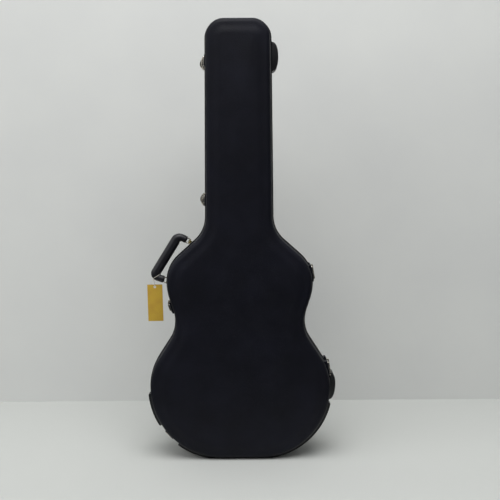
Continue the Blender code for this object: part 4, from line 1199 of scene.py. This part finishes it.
def grip(name):
    """The moulded handle. It swells towards the palm, with the mould's ridge along both sides."""
    loops = []
    for middle, angle, share, fingers, tip in grip_line():
        side = LEG_R + (GRIP_R - LEG_R) * share
        palm = LEG_R + (PALM_R - LEG_R) * share * share * (3 - 2 * share)
        out = spoke(angle)
        loop = []
        for turn in np.linspace(0, 2 * math.pi, GRIP_POINTS + 1)[:-1]:
            off_seam = min(turn % math.pi, math.pi - turn % math.pi)
            ridge = RIDGE if off_seam < RIDGE_HALF_ANGLE else 0.0
            across = math.cos(turn)
            far = palm if across > 0 else fingers
            reach = side + (far - side) * abs(across) + ridge - tip
            loop.append(middle + out * reach * across + Vector((0, reach * math.sin(turn), 0)))
        loops.append(loop)
    return loft(name, loops)


def round_line(name, points, radius, resolution):
    """A curve along points with a round section."""
    curve = bpy.data.curves.new(name, "CURVE")
    curve.dimensions = "3D"
    curve.bevel_depth = radius
    curve.bevel_resolution = resolution
    curve.use_fill_caps = True
    spline = curve.splines.new("POLY")
    spline.points.add(len(points) - 1)
    for i, point in enumerate(points):
        spline.points[i].co = (*point, 1)
    return new_object(name, curve)


def wire(name, points, radius):
    """A round wire along points, as a mesh."""
    obj = round_line(name, points, radius, 4)
    pick_only(obj)
    bpy.ops.object.convert(target="MESH")
    tidy_mesh(obj)
    return obj


def arc(cx, cz, radius, start, end):
    """Points of an arc in the XZ plane."""
    angles = np.linspace(start, end, CORNER_POINTS)
    return [(cx + radius * math.cos(a), 0, cz + radius * math.sin(a)) for a in angles]


def ring_points(reach, z):
    """The ring that a leg is moulded round: its two arms and the bar that turns in the barrel."""
    low, high = z - RING_HALF, z + RING_HALF
    top = reach + LEG_TIP_R
    corner = RING_CORNER
    points = [(top, 0, low)]
    points += arc(corner, low + corner, corner, -math.pi / 2, -math.pi)
    points += arc(corner, high - corner, corner, math.pi, math.pi / 2)
    return points + [(top, 0, high)]


settle(grip("carrying_handle"), "handle", vinyl, ["handle_grip"], HANDLE_PLACE, 40)
for end, (reach, z), height in zip(("upper", "lower"), LEGS, HANDLE_HEIGHTS):
    ring = wire(f"handle_ring_{end}", ring_points(reach, z), WIRE_R)
    settle(ring, "handle", nickel, [f"handle_loop_{end}"], HANDLE_PLACE)
    wall = local_frame(*edge_frame(height, -1, wall_inset(HANDLE_Y)), HANDLE_Y)
    width, length, thick = BRACKET
    top = thick + FIT
    low = (-BRACKET_SINK, -width / 2, -length / 2)
    plate = block(f"bracket_{end}", low, (top, width / 2, length / 2))
    round_off(plate, BRACKET_CORNER, 6, lambda e: along(e, 0))
    round_off(plate, BRACKET_EDGE, 2, lambda e: min(v.co.x for v in e.verts) > top - ON_PLANE)
    plate.data.transform(HANDLE_PLACE.inverted() @ wall)
    z0, z1 = z - BARREL_LENGTH / 2, z + BARREL_LENGTH / 2
    barrel = ring_tube("barrel", BARREL_R, WIRE_R + BARREL_PLAY, (0, 0, z0), (0, 0, z1))
    low = (-BARREL_STAND - CUT_PAST, -WEB_HALF, z0)
    bracket = merge(plate, barrel, block("web", low, (WEB_TOP, WEB_HALF, z1)))
    settle(bracket, "base", brassed, [f"handle_bracket_{end}"], HANDLE_PLACE)
    heads = []
    rivet_y, rivet_z = BRACKET_RIVETS
    for y in (-rivet_y, rivet_y):
        for along_z in (-rivet_z, rivet_z):
            spot = (top, y, along_z)
            heads.append(rivet(f"bracket_{end}_rivets", spot, *BRACKET_RIVET))
    settle(merge(*heads), "base", nickel, place=wall)


# Linings
# Both halves are lined: the base with a thick foam cradle, the lid with a thin pad, glued in and
# covered in one piece of black plush that is tucked behind the rims.

LINING_WALL = 0.021
LINING_FLOOR = 0.012
LINING_TOP = 0.0025
LINING_ROUND = 0.005
LINING_CORNER = 0.010
LINING_BULGE = 0.0012
FLOOR_EDGE = 0.012
LID_LINING = 0.007

# Knitted plush: a pile of about 1.6 mm that lies in drifts, lighter where it is brushed up.
DRIFT = 0.0455
PILE = 0.00156
plush, at = new_material("knitted_plush")
drift = add(
    plush,
    "ShaderNodeTexNoise",
    {"Vector": at, "Scale": 1 / DRIFT, "Detail": 5.0, "Distortion": 0.8},
)
pile = add(plush, "ShaderNodeTexNoise", {"Vector": at, "Scale": 1 / PILE, "Detail": 4.0})
nap = add(
    plush,
    "ShaderNodeBump",
    {"Height": pile.outputs["Fac"], "Strength": 0.7, "Distance": 0.0012},
)
surface(
    plush,
    {
        "Base Color": two_tones(plush, drift.outputs["Fac"], 0.35, 0.7, "#1C1B20", "#34323A"),
        "Roughness": 0.95,
        "Normal": nap.outputs["Normal"],
        "Sheen Weight": 0.6,
        "Sheen Roughness": 0.4,
        "Sheen Tint": srgb("#8F8C99"),
        "Specular IOR Level": 0.15,
    },
)


def lining(name, sign, depth, wall, floor, body):
    """A padded tray: out along the shell, over a rounded lip, and down to a soft floor."""
    face = depth - WALL - FIT
    shell_in = wall_inset(sign * (depth - EDGE_R)) + WALL + FIT
    rim_in = RIM_DEPTH + FIT
    under = EDGE_R - WALL
    lip = min(LINING_ROUND, wall / 2)
    stations = [(CROWN_BAND, face), (shell_in + under, face)]
    for turn in np.linspace(0, math.pi / 2, 5)[1:]:
        stations.append((shell_in + under * (1 - math.sin(turn)), face - under * (1 - math.cos(turn))))
    stations.append((max(rim_in, wall_inset(sign * depth / 3) + WALL + FIT), depth / 3))
    stations.append((rim_in, LINING_TOP + lip))
    for turn in np.linspace(0, math.pi, 9):
        middle = rim_in + wall / 2
        stations.append((middle - wall / 2 * math.cos(turn), LINING_TOP + lip - lip * math.sin(turn)))
    floor_y = face - floor
    inner = shell_in + wall
    corner = min(LINING_CORNER, floor_y * 0.3)
    for share in (0.33, 0.66):
        y = LINING_TOP + lip + (floor_y - corner - LINING_TOP - lip) * share
        bulge = LINING_BULGE * math.sin(math.pi * share)
        stations.append((rim_in + wall + (inner - rim_in - wall) * share + bulge, y))
    for turn in np.linspace(0, math.pi / 2, 5):
        y = floor_y - corner + corner * math.sin(turn)
        stations.append((inner + corner * (1 - math.cos(turn)), y))
    stations.append((inner + corner + FLOOR_EDGE, floor_y))
    pad = loft(name, [outline(inset, sign * y) for inset, y in stations])
    settle(pad, body, plush, [f"{body}_lining"], smooth=60)


lining("base_cradle", 1, BASE_DEPTH, LINING_WALL, LINING_FLOOR, "base")
lining("lid_pad", -1, LID_DEPTH, LID_LINING, LID_LINING, "lid")


# Neck rest
# A block of foam with a wide notch for the neck, covered in the same plush and glued in the cradle.

REST_LOW, REST_HIGH = [corner - CASE_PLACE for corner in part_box("neck_rest")]
NOTCH_HALF = 0.031
NOTCH_BOTTOM = 0.050
NOTCH_ROUND = 0.012
NOTCH_PAST = 0.01
SHRINK = 0.003
GLUE_GAP = 0.0005
VOXEL = 0.0045
SWELL_CAP = 0.005
PRESSURE = 4
STEPS = 20


def swell(obj):
    """Remeshes a pad, blows it up as cloth with a little pressure, and keeps it within a limit."""
    apply_modifier(obj, "REMESH", mode="VOXEL", voxel_size=VOXEL)
    before = np.array([v.co for v in obj.data.vertices])
    cover = obj.modifiers.new("cover", "CLOTH")
    cover.settings.use_pressure = True
    cover.settings.uniform_pressure_force = PRESSURE
    cover.settings.effector_weights.gravity = 0
    scene = bpy.context.scene
    for step in range(1, STEPS + 1):
        scene.frame_set(step)
    bpy.ops.object.modifier_apply(modifier="cover")
    scene.frame_set(1)
    after = np.array([v.co for v in obj.data.vertices])
    moved = after - before
    length = np.linalg.norm(moved, axis=1, keepdims=True)
    held = before + moved * np.minimum(1, SWELL_CAP / np.maximum(length, 1e-9))
    obj.data.vertices.foreach_set("co", held.ravel())
    obj.data.update()


rest = block(
    "neck_rest_block",
    (REST_LOW.x + SHRINK, REST_LOW.y + SHRINK, REST_LOW.z + SHRINK),
    (REST_HIGH.x - SHRINK, REST_HIGH.y - GLUE_GAP, REST_HIGH.z - SHRINK),
)
notch = block(
    "notch",
    (-NOTCH_HALF - SHRINK, REST_LOW.y - 2 * NOTCH_PAST, REST_LOW.z - NOTCH_PAST),
    (NOTCH_HALF + SHRINK, NOTCH_BOTTOM + SHRINK, REST_HIGH.z + NOTCH_PAST),
)
round_off(notch, NOTCH_ROUND, 5, lambda edge: along(edge, 2))
cut(rest, notch)
swell(rest)
apply_modifier(rest, "SUBSURF", levels=1, render_levels=1)
spread = np.array([v.co for v in rest.data.vertices])
within = np.clip(spread, np.array(REST_LOW), np.array(REST_HIGH))
rest.data.vertices.foreach_set("co", within.ravel())
settle(rest, "base", plush, ["neck_rest"], smooth=60)


# Accessory box
# A stiff board box behind the neck rest, covered in plush, with a lid flap on a thin steel pin and a
# ribbon tab to pull it open.

BOX_LOW, BOX_HIGH = [corner - CASE_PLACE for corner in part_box("accessory_box")]
BOX_WALL = 0.005
BOX_ROUND = 0.0016
FLAP_ROUND = 0.0014
FLAP_LOW, FLAP_HIGH = [corner - CASE_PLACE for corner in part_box("accessory_flap")]
FLAP_PIN = joint_named("flap_hinge")["pos_m"]
TAB_LOW, TAB_HIGH = [corner - CASE_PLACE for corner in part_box("pull_tab")]

carton = block("accessory_carton", BOX_LOW, BOX_HIGH)
hold = block(
    "hold",
    (BOX_LOW.x + BOX_WALL, BOX_LOW.y - 2 * BOX_WALL, BOX_LOW.z + BOX_WALL),
    (BOX_HIGH.x - BOX_WALL, BOX_HIGH.y - BOX_WALL, BOX_HIGH.z - BOX_WALL),
)
cut(carton, hold)
round_off(carton, BOX_ROUND, 4, lambda edge: max(v.co.y for v in edge.verts) < BOX_LOW.y + ON_PLANE)
settle(carton, "base", plush, ["accessory_box"])

pin_y = FLAP_PIN[1] - CASE_PLACE.y
pin_z = FLAP_PIN[2] - CASE_PLACE.z
flap = block("accessory_cover", FLAP_LOW, (FLAP_HIGH.x, FLAP_HIGH.y, pin_z))
round_off(flap, FLAP_ROUND, 4, lambda edge: max(v.co.z for v in edge.verts) < pin_z - ON_PLANE)
roll_r = (FLAP_HIGH.y - FLAP_LOW.y) / 2
roll = rod("roll", roll_r, (FLAP_LOW.x, pin_y, pin_z), (FLAP_HIGH.x, pin_y, pin_z))
settle(merge(flap, roll), "flap", plush, ["accessory_flap"])

# Grosgrain ribbon: a fine cross rib at 1 mm, dull black, sewn under the flap's edge, with painted shade:
# each rib is lighter on its crest and darker in its trough. A wave texture at scale 1 has a rib each
# tenth of pi.
RIB = 0.001
RIBBON_THICK = 0.0005
ribbon, at = new_material("grosgrain_ribbon")
ribs = add(
    ribbon,
    "ShaderNodeTexWave",
    {"Vector": at, "Scale": math.pi / 10 / RIB, "Distortion": 0.0},
    wave_type="BANDS",
    bands_direction="Z",
)
weave = add(
    ribbon,
    "ShaderNodeBump",
    {"Height": ribs.outputs["Fac"], "Strength": 0.6, "Distance": 0.0003},
)
# Painted shade: the colour follows the ribs, darker in their troughs and lighter on their crests.
surface(
    ribbon,
    {
        "Base Color": two_tones(ribbon, ribs.outputs["Fac"], 0.2, 0.8, "#1B1B20", "#2D2D33"),
        "Roughness": 0.8,
        "Normal": weave.outputs["Normal"],
        "Sheen Weight": 0.3,
    },
)


def ribbon_loop(name, low, high):
    """A ribbon folded back on itself, with a soft bend at its free end."""
    middle = (low.y + high.y) / 2
    radius = (high.y - low.y) / 2 - RIBBON_THICK / 2
    line = [(high.z, middle + radius)]
    for turn in np.linspace(math.pi / 2, 3 * math.pi / 2, 9):
        line.append((low.z + radius + radius * math.cos(turn), middle + radius * math.sin(turn)))
    line.append((high.z, middle - radius))
    count = len(line)
    faces = [(i, i + 1, count + i + 1, count + i) for i in range(count - 1)]
    obj = mesh_object(name, [(x, y, z) for x in (low.x, high.x) for z, y in line], faces)
    apply_modifier(obj, "SOLIDIFY", thickness=RIBBON_THICK, offset=0)
    return obj


tab = ribbon_loop("flap_ribbon", TAB_LOW, TAB_HIGH)
settle(tab, "flap", ribbon, ["pull_tab"], smooth=60)

accessory_pin = frame["nodes"]["accessory_pin"]
for entry in accessory_pin.material_slots:
    entry.material = nickel


# Tag
# A card of ochre paper with a pressed paper eyelet, on a thin white cotton string that is looped round
# the handle and knotted.

TAG_SIZE = (0.0395, 0.0965, 0.0008)
TAG_HOLE_R = 0.0020
TAG_HOLE_DOWN = 0.0060
TAG_LEAN = math.radians(-0.8)
TAG_CURL = 0.0010
TAG_TWIST = 0.9
EYELET_R = 0.0036
EYELET_PROUD = 0.0002
STRING_D = 0.0012
LOOP_HALF_ANGLE = math.radians(150)
LOOP_POINTS = 19
HOLE_DIPS = (0.0004, 0.0008)
KNOT_SHARE = 0.18
KNOT_RADII = (0.0011, 0.0008)
KNOT_TURN = 1.1
TAIL_R = 0.00054
TAILS = (
    ((0.0020, -0.0010, -0.0030), (0.0035, -0.0012, -0.0065)),
    ((-0.0016, -0.0014, -0.0025), (-0.0022, -0.0016, -0.0055)),
)
ANCHOR_ANGLE = math.radians(60)
TAG_HOLE = Vector(joint_named("tag_swing")["pos_m"]) - CASE_PLACE

# Card: a soft ochre, mottled in patches of 22 mm, with a tooth of 1.1 mm from its fibres.
FIBRE = 0.00111
MOTTLE = 0.0222
card, at = new_material("ochre_card")
fibre = add(card, "ShaderNodeTexNoise", {"Vector": at, "Scale": 1 / FIBRE, "Detail": 3.0})
mottle = add(card, "ShaderNodeTexNoise", {"Vector": at, "Scale": 1 / MOTTLE, "Detail": 4.0})
tooth = add(
    card,
    "ShaderNodeBump",
    {"Height": fibre.outputs["Fac"], "Strength": 0.25, "Distance": 0.0002},
)
surface(
    card,
    {
        "Base Color": two_tones(card, mottle.outputs["Fac"], 0.35, 0.7, "#CBA73A", "#C19A38"),
        "Roughness": 0.85,
        "Normal": tooth.outputs["Normal"],
        "IOR": 1.5,
    },
)

# Cotton: two twisted plies, seen as an uneven grain of 0.7 mm, matt and off white.
TWIST = 0.00067
cotton, at = new_material("twisted_cotton")
twist = add(cotton, "ShaderNodeTexNoise", {"Vector": at, "Scale": 1 / TWIST, "Detail": 3.0})
ply = add(
    cotton,
    "ShaderNodeBump",
    {"Height": twist.outputs["Fac"], "Strength": 0.5, "Distance": 0.0003},
)
surface(
    cotton,
    {
        "Base Color": two_tones(cotton, twist.outputs["Fac"], 0.3, 0.7, "#C9C5B8", "#E6E2D6"),
        "Roughness": 0.9,
        "Normal": ply.outputs["Normal"],
        "Sheen Weight": 0.2,
    },
)


def tag_anchor():
    """A place on the handle's lower bend, close to the leg, and the way out from the bend."""
    out = spoke(ANCHOR_ANGLE)
    centre = HANDLE_PLACE @ (bend(1)[3] + out * BEND_RADII[1])
    return centre, (HANDLE_PLACE.to_3x3() @ out).normalized()


def string_points():
    """From the knot up round the handle's bend, down behind, through the hole and up to the knot."""
    centre, outward = tag_anchor()
    gap = GRIP_R + STRING_D / 2 + 2 * FIT
    deep = Vector((0, 1, 0))
    turn = [
        centre - outward * gap * math.cos(a) + deep * gap * math.sin(a)
        for a in np.linspace(-LOOP_HALF_ANGLE, LOOP_HALF_ANGLE, LOOP_POINTS)
    ]
    slack = TAG_SIZE[2] / 2 + STRING_D / 2 + FIT
    front = TAG_HOLE - deep * slack
    back = TAG_HOLE + deep * slack
    knot = turn[0].lerp(front, KNOT_SHARE)
    up = [knot.lerp(turn[0], s) for s in (0.0, 0.5)]
    behind = [turn[-1].lerp(back, s) for s in (0.25, 0.5, 0.75, 0.95)]
    edge_dip, middle_dip = [Vector((0, 0, -dip)) for dip in HOLE_DIPS]
    through = [back + edge_dip, TAG_HOLE + middle_dip, front + edge_dip]
    beside = Vector((STRING_D * 1.1, -STRING_D * 0.3, 0))
    home = [front.lerp(knot + beside, s) for s in (0.15, 0.4, 0.7, 1.0)]
    return up + turn + behind + through + home, knot, beside


string_line, knot_place, beside = string_points()
string = round_line("tag_cord", [point + CASE_PLACE for point in string_line], STRING_D / 2, 3)
string.data.materials.append(cotton)
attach(string, "handle")
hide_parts("tag_string")

knot = primitive(
    "tag_knot",
    bpy.ops.mesh.primitive_torus_add,
    major_radius=KNOT_RADII[0],
    minor_radius=KNOT_RADII[1],
    major_segments=24,
    minor_segments=12,
)
knot_middle = knot_place + beside / 2
knot.data.transform(Matrix.Translation(knot_middle) @ Matrix.Rotation(KNOT_TURN, 4, "X"))
tails = []
for steps in TAILS:
    line = [knot_middle] + [knot_place + Vector(step) for step in steps]
    tails.append(wire("tail", line, TAIL_R))
settle(merge(knot, *tails), "handle", cotton)

width, length, thick = TAG_SIZE
grid = bpy.ops.mesh.primitive_grid_add
tag = primitive("paper_tag", grid, x_subdivisions=16, y_subdivisions=36, size=1)
upright = Matrix.Translation((0, 0, TAG_HOLE_DOWN - length / 2)) @ Matrix.Rotation(math.pi / 2, 4, "X")
tag.data.transform(upright @ Matrix.Diagonal((width, length, 1, 1)))
for vertex in tag.data.vertices:
    down = (TAG_HOLE_DOWN - vertex.co.z) / length
    across = vertex.co.x / width
    vertex.co.y += TAG_CURL * (down**3 - TAG_TWIST * down * across)
apply_modifier(tag, "SOLIDIFY", thickness=thick, offset=0)
cut(tag, rod("eye", TAG_HOLE_R, (0, -TAG_HOLE_DOWN, 0), (0, TAG_HOLE_DOWN, 0)))
lean = Matrix.Translation(TAG_HOLE) @ Matrix.Rotation(TAG_LEAN, 4, "Y")
settle(tag, "tag", card, ["hang_tag"], lean)

proud = thick / 2 + EYELET_PROUD
eyelet = ring_tube("tag_eyelet", EYELET_R, TAG_HOLE_R, (0, -proud, 0), (0, proud, 0), 40)
settle(eyelet, "tag", cotton, place=lean)


# The photograph's view
# A pale cloth covered table and a painted wall behind it, in soft light from the ceiling.

CAMERA_PLACE = (0.0184, -1.9415, 0.7307)
PICTURE_PIXELS = 500
FOCAL_PIXELS = 757
PITCH = math.radians(5.883)
ROLL = math.radians(0.33)
WALL_Y = 0.433

camera_data = bpy.data.cameras.new("camera")
camera_data.angle = 2 * math.atan(PICTURE_PIXELS / 2 / FOCAL_PIXELS)
camera = new_object("camera", camera_data)
view = Matrix.Rotation(math.pi / 2 - PITCH, 4, "X") @ Matrix.Rotation(-ROLL, 4, "Z")
camera.matrix_world = Matrix.Translation(CAMERA_PLACE) @ view
bpy.context.scene.camera = camera

# Table cloth: plain white weave, matt. Past the table's edges it carries a painted reflection: only
# glossy rays see it there, in a dark grey that stands in for the room's darker floor, so it shows only
# in what the case mirrors.
FRONT_EDGE = -0.42
TABLE_HALF = 0.5
FOLD = 0.111
THREAD = 0.002
cloth, at = new_material("table_cloth")
folds = add(cloth, "ShaderNodeTexNoise", {"Vector": at, "Scale": 1 / FOLD, "Detail": 4.0})
threads = add(cloth, "ShaderNodeTexNoise", {"Vector": at, "Scale": 1 / THREAD, "Detail": 2.0})
crease = add(
    cloth,
    "ShaderNodeBump",
    {"Height": folds.outputs["Fac"], "Strength": 0.1, "Distance": 0.01},
)
spot = add(cloth, "ShaderNodeSeparateXYZ", {"Vector": at})
before = add(cloth, "ShaderNodeMath", {0: spot.outputs["Y"], 1: FRONT_EDGE}, operation="LESS_THAN")
aside = add(cloth, "ShaderNodeMath", {0: spot.outputs["X"]}, operation="ABSOLUTE")
past = add(cloth, "ShaderNodeMath", {0: aside.outputs["Value"], 1: TABLE_HALF}, operation="GREATER_THAN")
beyond = add(
    cloth,
    "ShaderNodeMath",
    {0: before.outputs["Value"], 1: past.outputs["Value"]},
    operation="MAXIMUM",
)
ray = add(cloth, "ShaderNodeLightPath")
mirrored = add(
    cloth,
    "ShaderNodeMath",
    {0: beyond.outputs["Value"], 1: ray.outputs["Is Glossy Ray"]},
    operation="MULTIPLY",
)
white = two_tones(cloth, threads.outputs["Fac"], 0.3, 0.7, "#CBCDC9", "#D2D4D0")
# Painted reflection: the dark grey that glossy rays see on the cloth past the table's edges.
shade = add(
    cloth,
    "ShaderNodeMixRGB",
    {"Fac": mirrored.outputs["Value"], "Color1": white, "Color2": srgb("#303133")},
)
surface(
    cloth,
    {
        "Base Color": shade.outputs["Color"],
        "Roughness": 0.9,
        "Normal": crease.outputs["Normal"],
    },
)

# Wall paint: matt pale grey, and clear from behind so that the object's back can be seen.
STREAK = 0.333
paint, at = new_material("wall_paint")
streaks = add(paint, "ShaderNodeTexNoise", {"Vector": at, "Scale": 1 / STREAK, "Detail": 6.0})
matt = add(
    paint,
    "ShaderNodeBsdfDiffuse",
    {"Color": two_tones(paint, streaks.outputs["Fac"], 0.3, 0.7, "#DCDDDB", "#E1E2DF")},
)
clear = add(paint, "ShaderNodeBsdfTransparent")
side = add(paint, "ShaderNodeNewGeometry")
one_way = add(paint, "ShaderNodeMixShader", {"Fac": side.outputs["Backfacing"]})
paint.node_tree.links.new(matt.outputs["BSDF"], one_way.inputs[1])
paint.node_tree.links.new(clear.outputs["BSDF"], one_way.inputs[2])
add(paint, "ShaderNodeOutputMaterial", {"Surface": one_way.outputs["Shader"]})

STAGE_SIZE = 12
TABLE_DROP = 0.0004


def sheet_of(name, stuff, place, turn=0.0):
    """A plain square sheet of the stage."""
    plane = bpy.ops.mesh.primitive_plane_add
    obj = primitive(name, plane, size=STAGE_SIZE, location=place, rotation=(turn, 0, 0))
    obj.data.materials.append(stuff)
    return obj


table = sheet_of("table", cloth, (0, 0, -TABLE_DROP))
backdrop = sheet_of("wall", paint, (0, WALL_Y, 2), math.pi / 2)


LAMP_SIZE = 2.2
LAMP_AIM = Vector((0, 0, 0.6))


def lamp(name, place, power):
    """A soft square lamp that points at the case."""
    data = bpy.data.lights.new(name, "AREA")
    data.size = LAMP_SIZE
    data.energy = power
    obj = new_object(name, data)
    turn = (LAMP_AIM - Vector(place)).to_track_quat("-Z", "Y").to_matrix().to_4x4()
    obj.matrix_world = Matrix.Translation(place) @ turn


lamp("ceiling", (0.1, -1.0, 2.9), 57)
lamp("window", (-2.4, -1.6, 1.8), 16)

# The room: a bright ceiling over darker furniture and floor, and a darker side on the right. Where the
# camera sees past the wall, the room is as pale as the wall.
ROOM_LIGHT = 0.6
world = bpy.data.worlds.new("room")
world.use_nodes = True
world.node_tree.nodes.clear()
way_out = add(world, "ShaderNodeTexCoord")
axes = add(world, "ShaderNodeSeparateXYZ", {"Vector": way_out.outputs["Generated"]})
upwards = two_tones(world, axes.outputs["Z"], 0.05, 0.6, "#626366", "#F4F6FA")
to_right = add(
    world,
    "ShaderNodeMapRange",
    {"Value": axes.outputs["X"], "From Min": -0.2, "From Max": 0.8, "To Min": 1.0, "To Max": 0.3},
)
mirrored_room = add(
    world,
    "ShaderNodeMixRGB",
    {"Fac": 1.0, "Color1": upwards, "Color2": to_right.outputs["Result"]},
    blend_type="MULTIPLY",
)
seen = add(world, "ShaderNodeLightPath")
pale = [channel / ROOM_LIGHT for channel in srgb("#C9CAC8")[:3]]
room_colour = add(
    world,
    "ShaderNodeMixRGB",
    {
        "Fac": seen.outputs["Is Camera Ray"],
        "Color1": mirrored_room.outputs["Color"],
        "Color2": (*pale, 1.0),
    },
)
background = add(
    world,
    "ShaderNodeBackground",
    {"Color": room_colour.outputs["Color"], "Strength": ROOM_LIGHT},
)
add(world, "ShaderNodeOutputWorld", {"Surface": background.outputs["Background"]})
bpy.context.scene.world = world
bpy.context.scene.view_settings.view_transform = "Standard"
